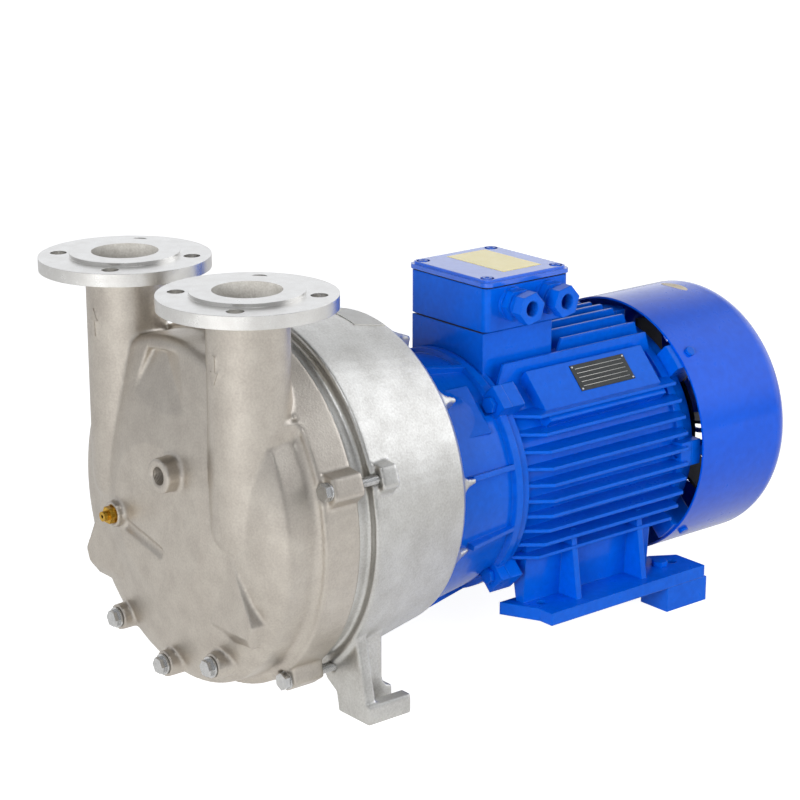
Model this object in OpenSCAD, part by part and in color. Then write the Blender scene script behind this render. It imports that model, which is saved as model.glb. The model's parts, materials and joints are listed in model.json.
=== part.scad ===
// Liquid ring vacuum pump, close-coupled to a foot-mounted motor.
// Millimetres. X runs along the shaft from the pump to the fan, Z is up.
// Lengths along X are counted from the plane of the two port axes.

/* [Shaft line] */
// Height of the shaft above the floor
shaft_h = 190; // [186:1:196]
// Height of the casing axis above the shaft
ecc = 25; // [20:1:27]

/* [Ports] */
// Distance of each port axis from the middle plane
port_y = 112; // [108:1:116]
// Height of the raised port faces above the floor
port_h = 477; // [472:1:490]
// Outside diameter of the port flanges
flange_od = 185; // [180:1:190]
// Thickness of the port flanges
flange_t = 14; // [12:1:18]
// Bolt circle of the port flanges
flange_pcd = 145; // [142:1:147]
// Diameter of the flange bolt holes
flange_hole_d = 18; // [14:1:19]
// Diameter of the raised port faces
face_d = 118; // [112:1:122]
// Height of the raised port faces
face_t = 4; // [2:1:5]
// Outside diameter of the port pipes
pipe_od = 86; // [84:1:90]
// Bore of the port pipes
port_bore_d = 72; // [66:1:74]

/* [Cover] */
// Distance from the port axes back to the cover joint
joint_x = 75; // [72:1:80]
// Outside radius of the cover rim
rim_r = 199; // [196:1:202]
// Width of the cover rim along the shaft
rim_len = 45; // [40:1:47]
// Radius of the raised middle of the cover
drum_r = 188; // [184:1:189]
// Distance from the port axes forward to the flat nose
nose_x = 43; // [40:1:46]
// Wall thickness of the cover
cover_wall = 9; // [7:1:11]
// Height of the webs behind the port pipes, above the casing axis
shoulder_h = 128; // [120:1:132]

/* [Clamp lugs] */
// Distance of the clamp bolts outside the cover rim
lug_out = 6; // [6:1:8]
// Length of the lugs on the cover
lug_len = 39; // [36:1:43]
// Thickness of the lugs on the casing
casing_lug_t = 22; // [18:1:26]
// Thread diameter of the clamp bolts
clamp_d = 10; // [8:1:10]

/* [Casing] */
// Length of the casing body
casing_len = 164; // [160:1:176]
// Outside radius of the casing behind its front rim
casing_r = 204; // [202:1:206]
// Outside radius of the casing at its back wall
casing_rear_r = 180; // [176:1:184]
// Wall thickness of the casing
casing_wall = 12; // [10:1:13]
// Thickness of the casing back wall
back_wall = 14; // [12:1:16]
// Length of the ribs behind the back wall
rib_len = 22; // [16:1:26]

/* [Pump feet] */
// Distance from the casing front face to the feet
foot_back = 20; // [18:1:24]
// Length of each pump foot
foot_len = 58; // [52:1:62]
// Distance of the outer face of each pump foot from the middle plane
foot_y = 183.5; // [180:0.5:186]
// Width of each pump foot
foot_w = 53.5; // [50:0.5:56]
// Width of the open slot in each pump foot
slot_w = 17; // [14:1:18]
// Height of the pump foot prongs
prong_h = 22; // [20:1:28]

/* [Impeller] */
// Outside radius of the impeller
impeller_r = 134; // [126:1:136]
// Number of impeller blades
blade_count = 14; // [10:1:16]
// Thickness of the impeller blades
blade_t = 5; // [4:0.5:6]

/* [Port plate] */
// Thickness of the port plate
plate_t = 8; // [6:1:10]
// Thickness of the discharge valve flap
flap_t = 1.5; // [1:0.5:2]

/* [Motor] */
// Length of the shield between pump and motor
shield_len = 110; // [106:1:118]
// Length of the motor frame
frame_len = 262; // [258:1:280]
// Outside radius of the motor frame under its fins
frame_r = 132; // [130:1:134]
// Wall thickness of the motor frame
frame_wall = 10; // [9:1:12]
// Radius that the cooling fins reach
fin_r = 154; // [150:1:156]
// Thickness of the cooling fins
fin_t = 4; // [3:0.5:5]
// Distance between cooling fins
fin_pitch = 18.6; // [17:0.2:20]
// Length of the stator core
core_len = 150; // [130:1:160]
// Radius of the rotor
rotor_r = 74; // [70:1:76]
// Air gap between rotor and stator
air_gap = 0.6; // [0.4:0.1:1]

/* [Motor feet] */
// Height of the spacer blocks under the motor feet
spacer_h = 30; // [26:1:34]
// Length of the motor feet
base_len = 271; // [264:1:276]
// Distance of the outer edge of each motor foot from the middle plane
base_y = 152; // [150:1:156]
// Width of each motor foot
base_w = 65; // [62:1:68]
// Thickness of the motor feet
base_t = 15; // [13:1:17]
// Distance of the foot holes from the middle plane
base_hole_y = 118; // [116:1:124]
// Diameter of the foot holes
base_hole_d = 12; // [10:0.5:13]

/* [Bearings] */
// Outside diameter of the bearings
bearing_od = 100; // [96:1:104]
// Shaft diameter at the bearings
bearing_id = 45; // [42:1:48]
// Width of the bearings
bearing_w = 25; // [23:1:27]
// Diameter of the bearing balls
ball_d = 17; // [15:0.5:17.5]
// Number of balls in each bearing
ball_count = 8; // [6:1:9]

/* [Fan cowl] */
// Outside radius of the fan cowl
cowl_r = 157.5; // [156:0.5:160]
// Length of the fan cowl
cowl_len = 154; // [150:1:166]
// Sheet thickness of the fan cowl
cowl_sheet = 2.5; // [2:0.5:3.5]
// Radius of the rounded rear edge of the cowl
cowl_round = 26; // [20:1:32]
// Radius of the cooling fan
fan_r = 126; // [115:1:132]
// Number of fan blades
fan_blades = 9; // [7:1:11]

/* [Terminal box] */
// Length of the terminal box along the shaft
box_l = 126; // [122:1:134]
// Width of the terminal box
box_w = 134; // [128:1:142]
// Height of the terminal box under its lid
box_h = 50; // [46:1:60]
// Thickness of the terminal box lid
lid_t = 8; // [7:1:12]
// Wall thickness of the terminal box
box_wall = 5; // [4:0.5:6]
// Height of the box seat above the shaft
seat_h = 170; // [166:1:176]
// Diameter of the cable glands across their flats
gland_af = 34; // [30:1:36]
// Bore of the cable glands
gland_bore = 18; // [14:1:20]

/* [Hidden] */
$fn = 96;

cast_steel = "#b9b3aa";
turned_steel = "#cfd0d0";
bright_steel = "#c3c4c6";
motor_blue = "#0a50c8";
brass_gold = "#c9a227";
seal_black = "#26282a";
copper = "#b0703c";
core_grey = "#6d7073";
fan_black = "#2d2f33";

// A hair past a face, so that a cut goes through
eps = 0.5;
// Clearance of a slide or press seat
seat_gap = 0.02;
// Clearance round a screw in its hole
screw_gap = 0.3;
// Clearance of turning parts
run_gap = 0.6;
gasket_t = 1;

casing_h = shaft_h + ecc;
rim_x = joint_x - rim_len;
casing_x0 = joint_x + gasket_t;
casing_x1 = casing_x0 + casing_len;
shield_x1 = casing_x1 + shield_len;
frame_x1 = shield_x1 + frame_len;
cowl_lap = 9;
cowl_x0 = frame_x1 + cowl_lap;
cowl_x1 = cowl_x0 + cowl_len;

// The middle of the whole pump along X, from the port flanges to the cowl
boss_len = 18;
front_x = -nose_x - boss_len;
mid_x = (cowl_x1 - flange_od / 2) / 2;

// Hexagon and thread sizes that follow from a thread diameter
function hex_r(af) = af / sqrt(3);
function head_af(d) = 1.6 * d + 1;
function head_t(d) = 0.65 * d;
function washer_t(d) = 0.2 * d;
function washer_r(d) = d;

// Places a shape that is drawn with x from the port plane
module placed() {
    translate([-mid_x, 0, 0]) children();
}

// Lays a drawing of y and z across the shaft and builds it along +X
module along_x(x) {
    translate([x, 0, 0]) rotate([90, 0, 90]) children();
}

// Turns a drawing of radius and x round an axis at height h
module turned(h) {
    translate([0, 0, h]) rotate([90, 0, 90]) rotate_extrude() children();
}

// Round bar along X
module bar_x(x, y, z, r, len) {
    along_x(x) translate([y, z, 0]) cylinder(r = r, h = len);
}

// Hexagon bar along X
module hex_x(x, y, z, af, len) {
    along_x(x) translate([y, z, 0]) cylinder(r = hex_r(af), h = len, $fn = 6);
}

// Round bar along Z
module bar_z(x, y, z, r, len) {
    translate([x, y, z]) cylinder(r = r, h = len);
}

// Ring along X round the shaft
module ring_x(x, r_out, r_in, len, h = shaft_h) {
    difference() {
        bar_x(x, 0, h, r_out, len);
        bar_x(x - eps, 0, h, r_in, len + 2 * eps);
    }
}

// Repeats a shape round an axis along X at height h
module round_axis(count, h, start = 0) {
    for (i = [0 : count - 1])
        translate([0, 0, h]) rotate([start + i * 360 / count, 0, 0]) children();
}

// Both sides of the middle plane
module both_sides() {
    children();
    mirror([0, 1, 0]) children();
}

// Flat bar with rounded corners, drawn in the plane
module rounded_rect(l, w, r) {
    union() {
        square([l - 2 * r, w], center = true);
        square([l, w - 2 * r], center = true);
        for (sx = [-1, 1], sy = [-1, 1])
            translate([sx * (l / 2 - r), sy * (w / 2 - r)]) circle(r = r);
    }
}

// Front cover with its two ports

pipe_r = pipe_od / 2;
flange_z = port_h - face_t - flange_t;
column_end_z = casing_h + 16;
// The front of the cover: flat nose, cone, then a bend round to the drum
nose_r = 80;
cone_slope = 0.207;
cone_r = drum_r - 38;
cone_end_x = -nose_x + cone_slope * (cone_r - nose_r);
bend_r = 75;
bend_set = 0.3;
drum_fillet = 9;
// The panel between the pipes reaches further out than the drum
panel_r = rim_r - 7;
panel_edge_r = 12;
panel_step = 0.4;
pocket_low = panel_r - 80;
pocket_h = 66;
// Faces of the joint, on the narrower of cover rim and casing band
joint_r = min(rim_r, casing_r - 5);
gasket_r = joint_r - 7;
cover_in_r = joint_r - 24;
lug_r = max(rim_r + lug_out, casing_r + 1);
lug_count = 5;
lug_start = 0;
lug_hole_r = clamp_d / 2 + screw_gap;
lug_tip_r = lug_r + 10;
lug_tip_w = 22;
lug_foot_w = 54;
lug_root = 18;
cover_lug_x = joint_x - lug_len;

// Half section of the drum
module drum_section() {
    bend_a = atan(cone_slope);
    union() {
        polygon([[0, -nose_x], [nose_r, -nose_x], [cone_r, cone_end_x], [cone_r, rim_x + eps],
            [0, rim_x + eps]]);
        intersection() {
            translate([cone_r - bend_r * sin(bend_a), cone_end_x + bend_set + bend_r * cos(bend_a)])
                circle(r = bend_r);
            translate([cone_r - 1, -nose_x]) square([drum_r - cone_r + 1, nose_x + rim_x + eps]);
        }
        if (rim_r > drum_r + drum_fillet + 1) difference() {
            translate([drum_r - 1, rim_x - drum_fillet]) square([drum_fillet + 1, drum_fillet + eps]);
            translate([drum_r + drum_fillet, rim_x - drum_fillet]) circle(r = drum_fillet);
        }
    }
}

module cover_drum() {
    turned(casing_h) drum_section();
}

// Panel between the port pipes, a cone that runs on to a rounded edge
module cover_panel() {
    start_x = cone_end_x - panel_step;
    edge_x = start_x + cone_slope * (panel_r - panel_edge_r - cone_r);
    end_x = rim_x + 3 * eps;
    intersection() {
        turned(casing_h) union() {
            polygon([[cone_r, start_x], [panel_r - panel_edge_r, edge_x], [panel_r, edge_x + panel_edge_r],
                [panel_r, end_x], [cone_r, end_x]]);
            translate([panel_r - panel_edge_r, edge_x + panel_edge_r]) circle(r = panel_edge_r);
        }
        translate([-nose_x, -port_y, casing_h + nose_r])
            cube([nose_x + rim_len, 2 * port_y, rim_r]);
    }
}

// Wedge cut into the panel: it deepens upwards and towards the left pipe
module panel_pocket() {
    pocket_depth = 14;
    low = casing_h + pocket_low;
    top = low + pocket_h;
    low_x = -nose_x + cone_slope * (pocket_low - nose_r) - 0.5;
    top_x = low_x + cone_slope * pocket_h + pocket_depth;
    wall_y = -22;
    wall_turn = [0, 4.2, -15.1];
    reach = 2 * pocket_h;
    intersection() {
        rotate([90, 0, 0]) linear_extrude(height = 2 * port_y, center = true)
            polygon([[low_x, low], [top_x, top + 4], [-2 * nose_x, top + 4], [-2 * nose_x, low]]);
        along_x(-2 * nose_x) linear_extrude(height = 3 * nose_x)
            polygon([[-60, low], [58, low], [39, top - 4], [-32, top + 4]]);
        translate([low_x + cone_slope * pocket_h, wall_y, top]) rotate(wall_turn)
            translate([-reach, -reach, -reach]) cube([reach, 2 * reach, 2 * reach]);
    }
}

// Flat raised wing low on each side of the front, its lower edge sloped back
module cover_wings() {
    wing_x = nose_x - 8;
    slope_back = 13;
    both_sides() intersection() {
        along_x(-wing_x) linear_extrude(height = wing_x)
            polygon([[120, casing_h - 10], [158, casing_h - 80], [146, casing_h - 107], [80, casing_h - 107]]);
        rotate([90, 0, 0]) linear_extrude(height = 2 * rim_r, center = true)
            polygon([[-wing_x - eps, casing_h], [-wing_x - eps, casing_h - 93], [-wing_x + slope_back, casing_h - 115],
                [eps, casing_h - 115], [eps, casing_h]]);
    }
}

// Webs that carry the back of each port pipe over to the rim
module port_webs() {
    both_sides() translate([0, port_y, casing_h + 20])
        cube([rim_x + 2 * eps, pipe_r - 1, shoulder_h - 20]);
}

// One port: pipe, domed foot and flange
module port(side) {
    y = side * port_y;
    union() {
        bar_z(0, y, column_end_z, pipe_r, flange_z + eps - column_end_z);
        translate([0, y, column_end_z]) sphere(r = pipe_r);
        bar_z(0, y, flange_z, flange_od / 2, flange_t);
        bar_z(0, y, flange_z + flange_t - eps, face_d / 2, face_t + eps);
        port_arrow(side);
    }
}

// Raised arrow that shows the way of the flow
module port_arrow(side) {
    arrow_len = 30;
    arrow_proud = 1.5;
    arrow_drop = side > 0 ? 53 : 58;
    turn = side > 0 ? 180 : 0;
    arrow_y = side > 0 ? -86 : -88;
    translate([0, side * port_y, flange_z - arrow_drop]) rotate([0, 0, arrow_y])
        intersection() {
            rotate([0, turn, 0]) rotate([90, 0, 0]) rotate([0, 0, -90])
                linear_extrude(height = 2 * pipe_r)
                    polygon([[-arrow_len / 2, -2], [2, -2], [2, -6], [arrow_len / 2, 0],
                        [2, 6], [2, 2], [-arrow_len / 2, 2]]);
            translate([0, 0, -arrow_len]) cylinder(r = pipe_r + arrow_proud, h = 2 * arrow_len);
        }
}

module port_cuts(side) {
    y = side * port_y;
    union() {
        bar_z(0, y, column_end_z, port_bore_d / 2, port_h - column_end_z + eps);
        translate([0, y, column_end_z]) sphere(d = port_bore_d);
        for (i = [0 : 3])
            translate([0, y, 0]) rotate([0, 0, 45 + 90 * i])
                bar_z(flange_pcd / 2, 0, flange_z - eps, flange_hole_d / 2, flange_t + 2 * eps);
    }
}

// Clamp lug as a drawing across the shaft, pointing up, with its root at radius foot_r
module lug_outline(foot_r) {
    polygon([[-lug_foot_w / 2, foot_r], [lug_foot_w / 2, foot_r], [lug_tip_w / 2, lug_tip_r],
        [-lug_tip_w / 2, lug_tip_r]]);
}

module cover_lugs() {
    round_axis(lug_count, casing_h, lug_start)
        along_x(cover_lug_x) linear_extrude(height = lug_len) lug_outline(rim_r - lug_root);
}

module lug_holes(x, len, r) {
    round_axis(lug_count, casing_h, lug_start) bar_x(x, 0, lug_r, r, len);
}

// Plug bosses on the lower edge of the cover
plug_d = 16;
plug_boss_r = 14.5;
plug_circle_r = rim_r - 32;
plug_pitch = 32.5;
plug_count = 3;
plug_front_x = 4 - nose_x;
plug_hole_len = nose_x + 3;
plug_thread_len = 18;

module at_plugs() {
    for (i = [-1 : plug_count - 2])
        translate([0, plug_circle_r * sin(i * plug_pitch), casing_h - plug_circle_r * cos(i * plug_pitch)])
            children();
}

// Threaded boss for the sealing liquid and the vent boss beside it
liquid_y = -32;
liquid_z = casing_h + 58;
liquid_boss_r = 19;
liquid_hole_r = 10.5;
liquid_depth = 22;
liquid_drill_r = 7;
vent_y = 76;
vent_z = casing_h - 15;
vent_boss_r = 14.5;
vent_d = 13;
vent_af = vent_d + 4;
vent_front_x = -nose_x - 9;
vent_sink = 4;
vent_sink_r = hex_r(vent_af) + 1;
vent_thread_len = 16;
vent_hole_len = vent_sink + vent_thread_len + 4;

module cover_bosses() {
    at_plugs() bar_x(plug_front_x, 0, 0, plug_boss_r, -plug_front_x);
    bar_x(front_x, liquid_y, liquid_z, liquid_boss_r, nose_x);
    bar_x(vent_front_x, vent_y, vent_z, vent_boss_r, nose_x);
}

module cover_boss_holes() {
    at_plugs() bar_x(plug_front_x - eps, 0, 0, plug_d / 2 + seat_gap, plug_hole_len);
    bar_x(front_x - eps, liquid_y, liquid_z, liquid_hole_r, liquid_depth + eps);
    bar_x(front_x, liquid_y, liquid_z, liquid_drill_r, liquid_depth + nose_x);
    bar_x(vent_front_x - eps, vent_y, vent_z, vent_sink_r, vent_sink + eps);
    bar_x(vent_front_x - eps, vent_y, vent_z, vent_d / 2 + seat_gap, vent_hole_len);
    vent_groove();
}

// Shallow slanting groove from the vent boss towards the middle
module vent_groove() {
    groove_len = 74;
    groove_cut_r = 9;
    groove_turn = 102;
    translate([-nose_x - 5, vent_y - 12, vent_z - 8]) rotate([groove_turn, 0, 0])
        cylinder(r = groove_cut_r, h = groove_len);
}

// Suction and discharge chambers, parted by a web on the middle plane
module cover_cavity() {
    web_t = 12;
    chamber_r = cover_in_r - cover_wall;
    step_r = chamber_r - 16;
    nose = cover_wall - nose_x;
    front = nose + cone_slope * (step_r - nose_r);
    difference() {
        union() {
            intersection() {
                turned(casing_h) polygon([[0, nose], [nose_r, nose], [step_r, front], [chamber_r - 6, front + 7],
                    [chamber_r, front + 17], [chamber_r, joint_x + eps], [0, joint_x + eps]]);
                translate([-nose_x, -rim_r, casing_h - rim_r])
                    cube([nose_x + joint_x + eps, 2 * rim_r, rim_r + shoulder_h - cover_wall]);
            }
            bar_x(rim_x + cover_wall, 0, casing_h, chamber_r + 8, rim_len);
        }
        translate([-nose_x, -web_t / 2, 0]) cube([nose_x + joint_x + 2 * eps, web_t, port_h]);
    }
}

module front_cover() {
    color(cast_steel) placed() difference() {
        union() {
            cover_drum();
            cover_panel();
            cover_wings();
            port_webs();
            bar_x(rim_x, 0, casing_h, rim_r, rim_len);
            for (side = [-1, 1]) port(side);
            cover_lugs();
            cover_bosses();
        }
        cover_cavity();
        for (side = [-1, 1]) port_cuts(side);
        lug_holes(cover_lug_x - eps, lug_len + 2 * eps, lug_hole_r);
        lug_holes(rim_x - 2 * eps, cover_lug_x - rim_x + 2 * eps, washer_r(clamp_d) + 1);
        cover_boss_holes();
        panel_pocket();
    }
}

// Joint and port plate

band_r = casing_r - 12;
plate_r = band_r - 8;

module cover_gasket() {
    color(seal_black) placed() ring_x(joint_x, gasket_r, cover_in_r, gasket_t, casing_h);
}

// Discharge holes under the valve flap, on the discharge side
valve_y = 84;
valve_z = casing_h - 18;
valve_rows = 3;
valve_cols = 4;
valve_step = 16;
valve_hole_r = 5.5;
flap_w = 74;
flap_h = 58;
flap_clear = 0.3;
flap_hinge_z = valve_z + flap_h / 2;
flap_x = casing_x0 - flap_clear - flap_t;
valve_screw_d = 5;
plate_x1 = casing_x0 + plate_t;
guard_t = 4;
guard_gap = 9;

module port_plate() {
    color(bright_steel) placed() difference() {
        bar_x(casing_x0, 0, casing_h, plate_r, plate_t);
        suction_window();
        for (i = [0 : valve_cols - 1], j = [0 : valve_rows - 1])
            bar_x(casing_x0 - eps, valve_y + (i - (valve_cols - 1) / 2) * valve_step,
                valve_z + (j - (valve_rows - 1) / 2) * valve_step, valve_hole_r, plate_t + 2 * eps);
        bar_x(casing_x0 - eps, 0, shaft_h, 9, plate_t + 2 * eps);
        at_valve_screws() bar_x(casing_x0 - eps, 0, 0, valve_screw_d / 2 + seat_gap, plate_t + 2 * eps);
    }
}

// Sickle-shaped suction port, between two turns about the shaft
module suction_window() {
    along_x(casing_x0 - eps) linear_extrude(height = plate_t + 2 * eps)
        intersection() {
            difference() {
                translate([0, shaft_h]) circle(r = 116);
                translate([0, shaft_h]) circle(r = 70);
            }
            polygon([[-10, shaft_h + 10], [-10, shaft_h + 150], [-150, shaft_h + 150],
                [-150, shaft_h - 20]]);
        }
}

// The flap hangs from a bar under the valve guard
module valve_flap() {
    color(bright_steel) placed()
        translate([flap_x, valve_y, valve_z]) rotate([90, 0, 90])
            linear_extrude(height = flap_t) rounded_rect(flap_w, flap_h, 5);
}

module at_valve_screws() {
    for (s = [-1, 1])
        translate([0, valve_y + s * (flap_w / 2 - 10), flap_hinge_z + 9]) children();
}

module valve_guard() {
    guard_x = joint_x - guard_gap - guard_t;
    color(bright_steel) placed() difference() {
        union() {
            translate([guard_x, valve_y - flap_w / 2, flap_hinge_z - flap_h + 6])
                cube([guard_t, flap_w, flap_h + 12]);
            translate([guard_x, valve_y - flap_w / 2, flap_hinge_z + flap_clear])
                cube([casing_x0 - guard_x, flap_w, 18 - flap_clear]);
        }
        at_valve_screws() bar_x(guard_x - eps, 0, 0, valve_screw_d / 2 + screw_gap, guard_gap + guard_t + 2);
    }
}

module valve_screws() {
    guard_x = joint_x - guard_gap - guard_t;
    color(bright_steel) placed() at_valve_screws() {
        hex_x(guard_x - head_t(valve_screw_d), 0, 0, head_af(valve_screw_d) - 1, head_t(valve_screw_d));
        bar_x(guard_x - eps, 0, 0, valve_screw_d / 2, plate_x1 - guard_x);
    }
}

// Pump casing with its feet

casing_step_x = casing_x0 + 16;
back_x = casing_x1 - back_wall;
seal_bore_r = 32;
seal_tube_r = seal_bore_r + 12;
seal_tube_len = 18;
seal_end_t = 8;
shaft_r = 20;
bolt_m = 10;
casing_bolt_r = 104;
casing_bolt_count = 6;
rib_count = 12;
casing_lug_x = casing_step_x + 6;
foot_x = casing_x0 + foot_back;
foot_wall = 14;
foot_fillet = 13;
// How far the outer side of a leg leans in, for each millimetre up
leg_lean = 0.22;

module casing_shell() {
    turned(casing_h) polygon([[0, casing_x0], [band_r, casing_x0], [band_r, casing_step_x],
        [casing_r - 2, casing_step_x], [casing_r, casing_step_x + 2],
        [casing_rear_r, casing_x1 - 10], [casing_rear_r - 10, casing_x1], [0, casing_x1]]);
}

module casing_chamber() {
    rear_r = casing_rear_r - casing_wall;
    turned(casing_h) polygon([[0, plate_x1 - eps], [plate_r - 8, plate_x1 - eps],
        [plate_r - 8, casing_step_x + 8], [rear_r, back_x], [0, back_x]]);
    bar_x(casing_x0 - eps, 0, casing_h, plate_r + seat_gap, plate_t + eps);
}

// Pointed ribs behind the back wall, outside the flange of the shield
module casing_ribs() {
    root_w = 9;
    neck_w = 4.5;
    tip_w = 2.5;
    foot_x0 = casing_x1 - 30;
    neck_x = casing_x1 + rib_len / 3;
    tip_x = casing_x1 + rib_len;
    difference() {
        intersection() {
            round_axis(rib_count, shaft_h, 360 / rib_count / 2) translate([0, 0, shield_front_r - 20])
                linear_extrude(height = casing_rear_r + ecc - shield_front_r + 20)
                    polygon([[foot_x0, -root_w], [casing_x1 - 2, -root_w], [neck_x, -neck_w], [tip_x, -tip_w],
                        [tip_x, tip_w], [neck_x, neck_w], [casing_x1 - 2, root_w], [foot_x0, root_w]]);
            turned(casing_h) polygon([[0, foot_x0], [casing_rear_r + 2, foot_x0],
                [casing_rear_r - 8, casing_x1], [casing_rear_r - 16, tip_x],
                [casing_rear_r - 28, tip_x], [casing_rear_r - 56, casing_x1], [0, casing_x1]]);
        }
        bar_x(casing_x1, 0, shaft_h, shield_front_r + screw_gap, rib_len + eps);
    }
}

module casing_lugs() {
    round_axis(lug_count, casing_h, lug_start)
        along_x(casing_lug_x) linear_extrude(height = casing_lug_t) lug_outline(casing_r - lug_root - 5);
}

// One leg with its fork foot, on the +Y side
module pump_leg() {
    inner_y = foot_y - foot_w;
    near_prong = 15.5;
    rib_t = foot_w - near_prong - slot_w;
    rib_len = foot_len - foot_fillet;
    leg_top = casing_h - 100;
    union() {
        along_x(foot_x) linear_extrude(height = foot_wall)
            polygon([[inner_y, 0], [foot_y, 0], [foot_y - leg_lean * leg_top, leg_top], [inner_y - 10, leg_top],
                [inner_y - 42, casing_h - 155], [inner_y - 30, casing_h - 169], [inner_y - 21, casing_h - 184],
                [inner_y - 4, casing_h - 194]]);
        translate([foot_x, foot_y - near_prong, 0]) cube([foot_len, near_prong, prong_h]);
        translate([foot_x, inner_y, 0]) rotate([90, 0, 0]) mirror([0, 0, 1])
            linear_extrude(height = rib_t) union() {
                polygon([[0, 0], [foot_len, 0], [foot_len, prong_h], [rib_len, prong_h], [rib_len, leg_top],
                    [0, leg_top]]);
                difference() {
                    translate([rib_len - 1, prong_h - 1]) square(foot_fillet + 1 - eps);
                    translate([foot_len, prong_h + foot_fillet]) circle(r = foot_fillet);
                }
            }
    }
}

module pump_casing() {
    color(cast_steel) placed() difference() {
        union() {
            casing_shell();
            casing_ribs();
            casing_lugs();
            both_sides() pump_leg();
            bar_x(back_x, 0, shaft_h, seal_tube_r, back_wall + seal_tube_len);
        }
        casing_chamber();
        bar_x(back_x - eps, 0, shaft_h, seal_bore_r, back_wall + seal_tube_len - seal_end_t + eps);
        bar_x(back_x - eps, 0, shaft_h, shaft_r + 2, back_wall + seal_tube_len + 2 * eps);
        lug_holes(casing_x0 - eps, casing_lug_x + casing_lug_t - casing_x0 + 2 * eps, clamp_d / 2 + seat_gap);
        round_axis(casing_bolt_count, shaft_h, 0)
            bar_x(casing_x1 - back_wall + 3, 0, casing_bolt_r, bolt_m / 2 + seat_gap, back_wall);
    }
}

// Clamp bolts pull the lugs of cover and casing together
module cover_bolts() {
    head = head_t(clamp_d);
    seat_x = cover_lug_x - washer_t(clamp_d);
    color(bright_steel) placed() round_axis(lug_count, casing_h, lug_start) union() {
        hex_x(seat_x - head, 0, lug_r, head_af(clamp_d), head);
        bar_x(seat_x - eps, 0, lug_r, clamp_d / 2, casing_lug_x + casing_lug_t - seat_x);
    }
}

module cover_washers() {
    color(bright_steel) placed() round_axis(lug_count, casing_h, lug_start) difference() {
        bar_x(cover_lug_x - washer_t(clamp_d), 0, lug_r, washer_r(clamp_d), washer_t(clamp_d));
        bar_x(cover_lug_x - washer_t(clamp_d) - eps, 0, lug_r, lug_hole_r, washer_t(clamp_d) + 2 * eps);
    }
}

plug_seal_t = 1;
plug_collar_r = 11.5;
plug_collar_t = 2;
plug_hex_t = 6;

module drain_plugs() {
    collar_x = plug_front_x - plug_seal_t - plug_collar_t;
    color(bright_steel) placed() at_plugs() union() {
        hex_x(collar_x - plug_hex_t, 0, 0, plug_d, plug_hex_t + eps);
        bar_x(collar_x, 0, 0, plug_collar_r, plug_collar_t);
        bar_x(collar_x + eps, 0, 0, plug_d / 2, plug_seal_t + plug_collar_t + plug_thread_len);
    }
}

module plug_seals() {
    color(core_grey) placed() at_plugs() difference() {
        bar_x(plug_front_x - plug_seal_t, 0, 0, plug_collar_r, plug_seal_t);
        bar_x(plug_front_x - plug_seal_t - eps, 0, 0, plug_d / 2 + seat_gap, plug_seal_t + 2 * eps);
    }
}

module vent_plug() {
    vent_hex_t = 9;
    vent_tip_r = 5.5;
    vent_tip_len = 6;
    vent_bore_r = 2;
    seat_x = vent_front_x + vent_sink;
    tip_x = seat_x - vent_hex_t - vent_tip_len;
    color(brass_gold) placed() difference() {
        union() {
            hex_x(seat_x - vent_hex_t, vent_y, vent_z, vent_af, vent_hex_t);
            bar_x(seat_x - eps, vent_y, vent_z, vent_d / 2, vent_thread_len);
            bar_x(tip_x, vent_y, vent_z, vent_tip_r, vent_tip_len + eps);
        }
        bar_x(tip_x - eps, vent_y, vent_z, vent_bore_r, vent_hex_t + vent_tip_len + eps);
    }
}

// Mechanical seal and impeller

seat_len = 8;
seal_seat_x = casing_x1 + seal_tube_len - seal_end_t - seat_len;
impeller_x0 = plate_x1 + run_gap;
impeller_x1 = back_x - 6;
hub_r = 42;
nut_af = 46;
nut_t = 12;
nut_sink = nut_t + 3;
nut_r = 13;
key_w = 10;
key_h = 8;
key_len = 60;
key_x = impeller_x0 + nut_sink + 14;

module seal_seat() {
    color("#4a4d50") placed() ring_x(seal_seat_x, seal_bore_r - seat_gap, shaft_r + 1.5, seat_len);
}

module seal_head() {
    head_x = impeller_x1 + seat_gap;
    color(seal_black) placed() union() {
        ring_x(head_x, seal_bore_r - 3, shaft_r + seat_gap, seal_seat_x - head_x - 5);
        ring_x(seal_seat_x - 5 - eps, seal_bore_r - 6, shaft_r + seat_gap, 5 + eps - flap_clear);
    }
}

// Blade curved forward: an arc between the hub and the rim
module blade_outline() {
    arc_r = impeller_r * 0.75;
    intersection() {
        difference() {
            translate([arc_r, hub_r + 18]) circle(r = arc_r + blade_t / 2);
            translate([arc_r, hub_r + 18]) circle(r = arc_r - blade_t / 2);
        }
        difference() {
            circle(r = impeller_r);
            circle(r = hub_r - 4);
        }
        translate([-impeller_r, 0]) square([1.5 * impeller_r, impeller_r]);
    }
}

module impeller() {
    shroud_t = 6;
    color(cast_steel) placed() difference() {
        union() {
            bar_x(impeller_x0 + 1, 0, shaft_h, hub_r, impeller_x1 - impeller_x0 - 1);
            bar_x(impeller_x1 - shroud_t - 6, 0, shaft_h, impeller_r - 3, shroud_t);
            round_axis(blade_count, shaft_h)
                along_x(impeller_x0) linear_extrude(height = impeller_x1 - 9 - impeller_x0) blade_outline();
        }
        bar_x(impeller_x0 - eps, 0, shaft_h, shaft_r + seat_gap, impeller_x1 - impeller_x0 + 2 * eps);
        bar_x(impeller_x0 - eps, 0, shaft_h, hex_r(nut_af) + 3, nut_sink + eps);
        translate([key_x - seat_gap, -key_w / 2 - seat_gap, shaft_h])
            cube([impeller_x1 - key_x + eps, key_w + 2 * seat_gap, shaft_r + key_h / 2 + seat_gap]);
    }
}

module impeller_key() {
    color(bright_steel) placed() translate([key_x, -key_w / 2, shaft_h + shaft_r - key_h / 2])
        cube([key_len, key_w, key_h]);
}

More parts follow.
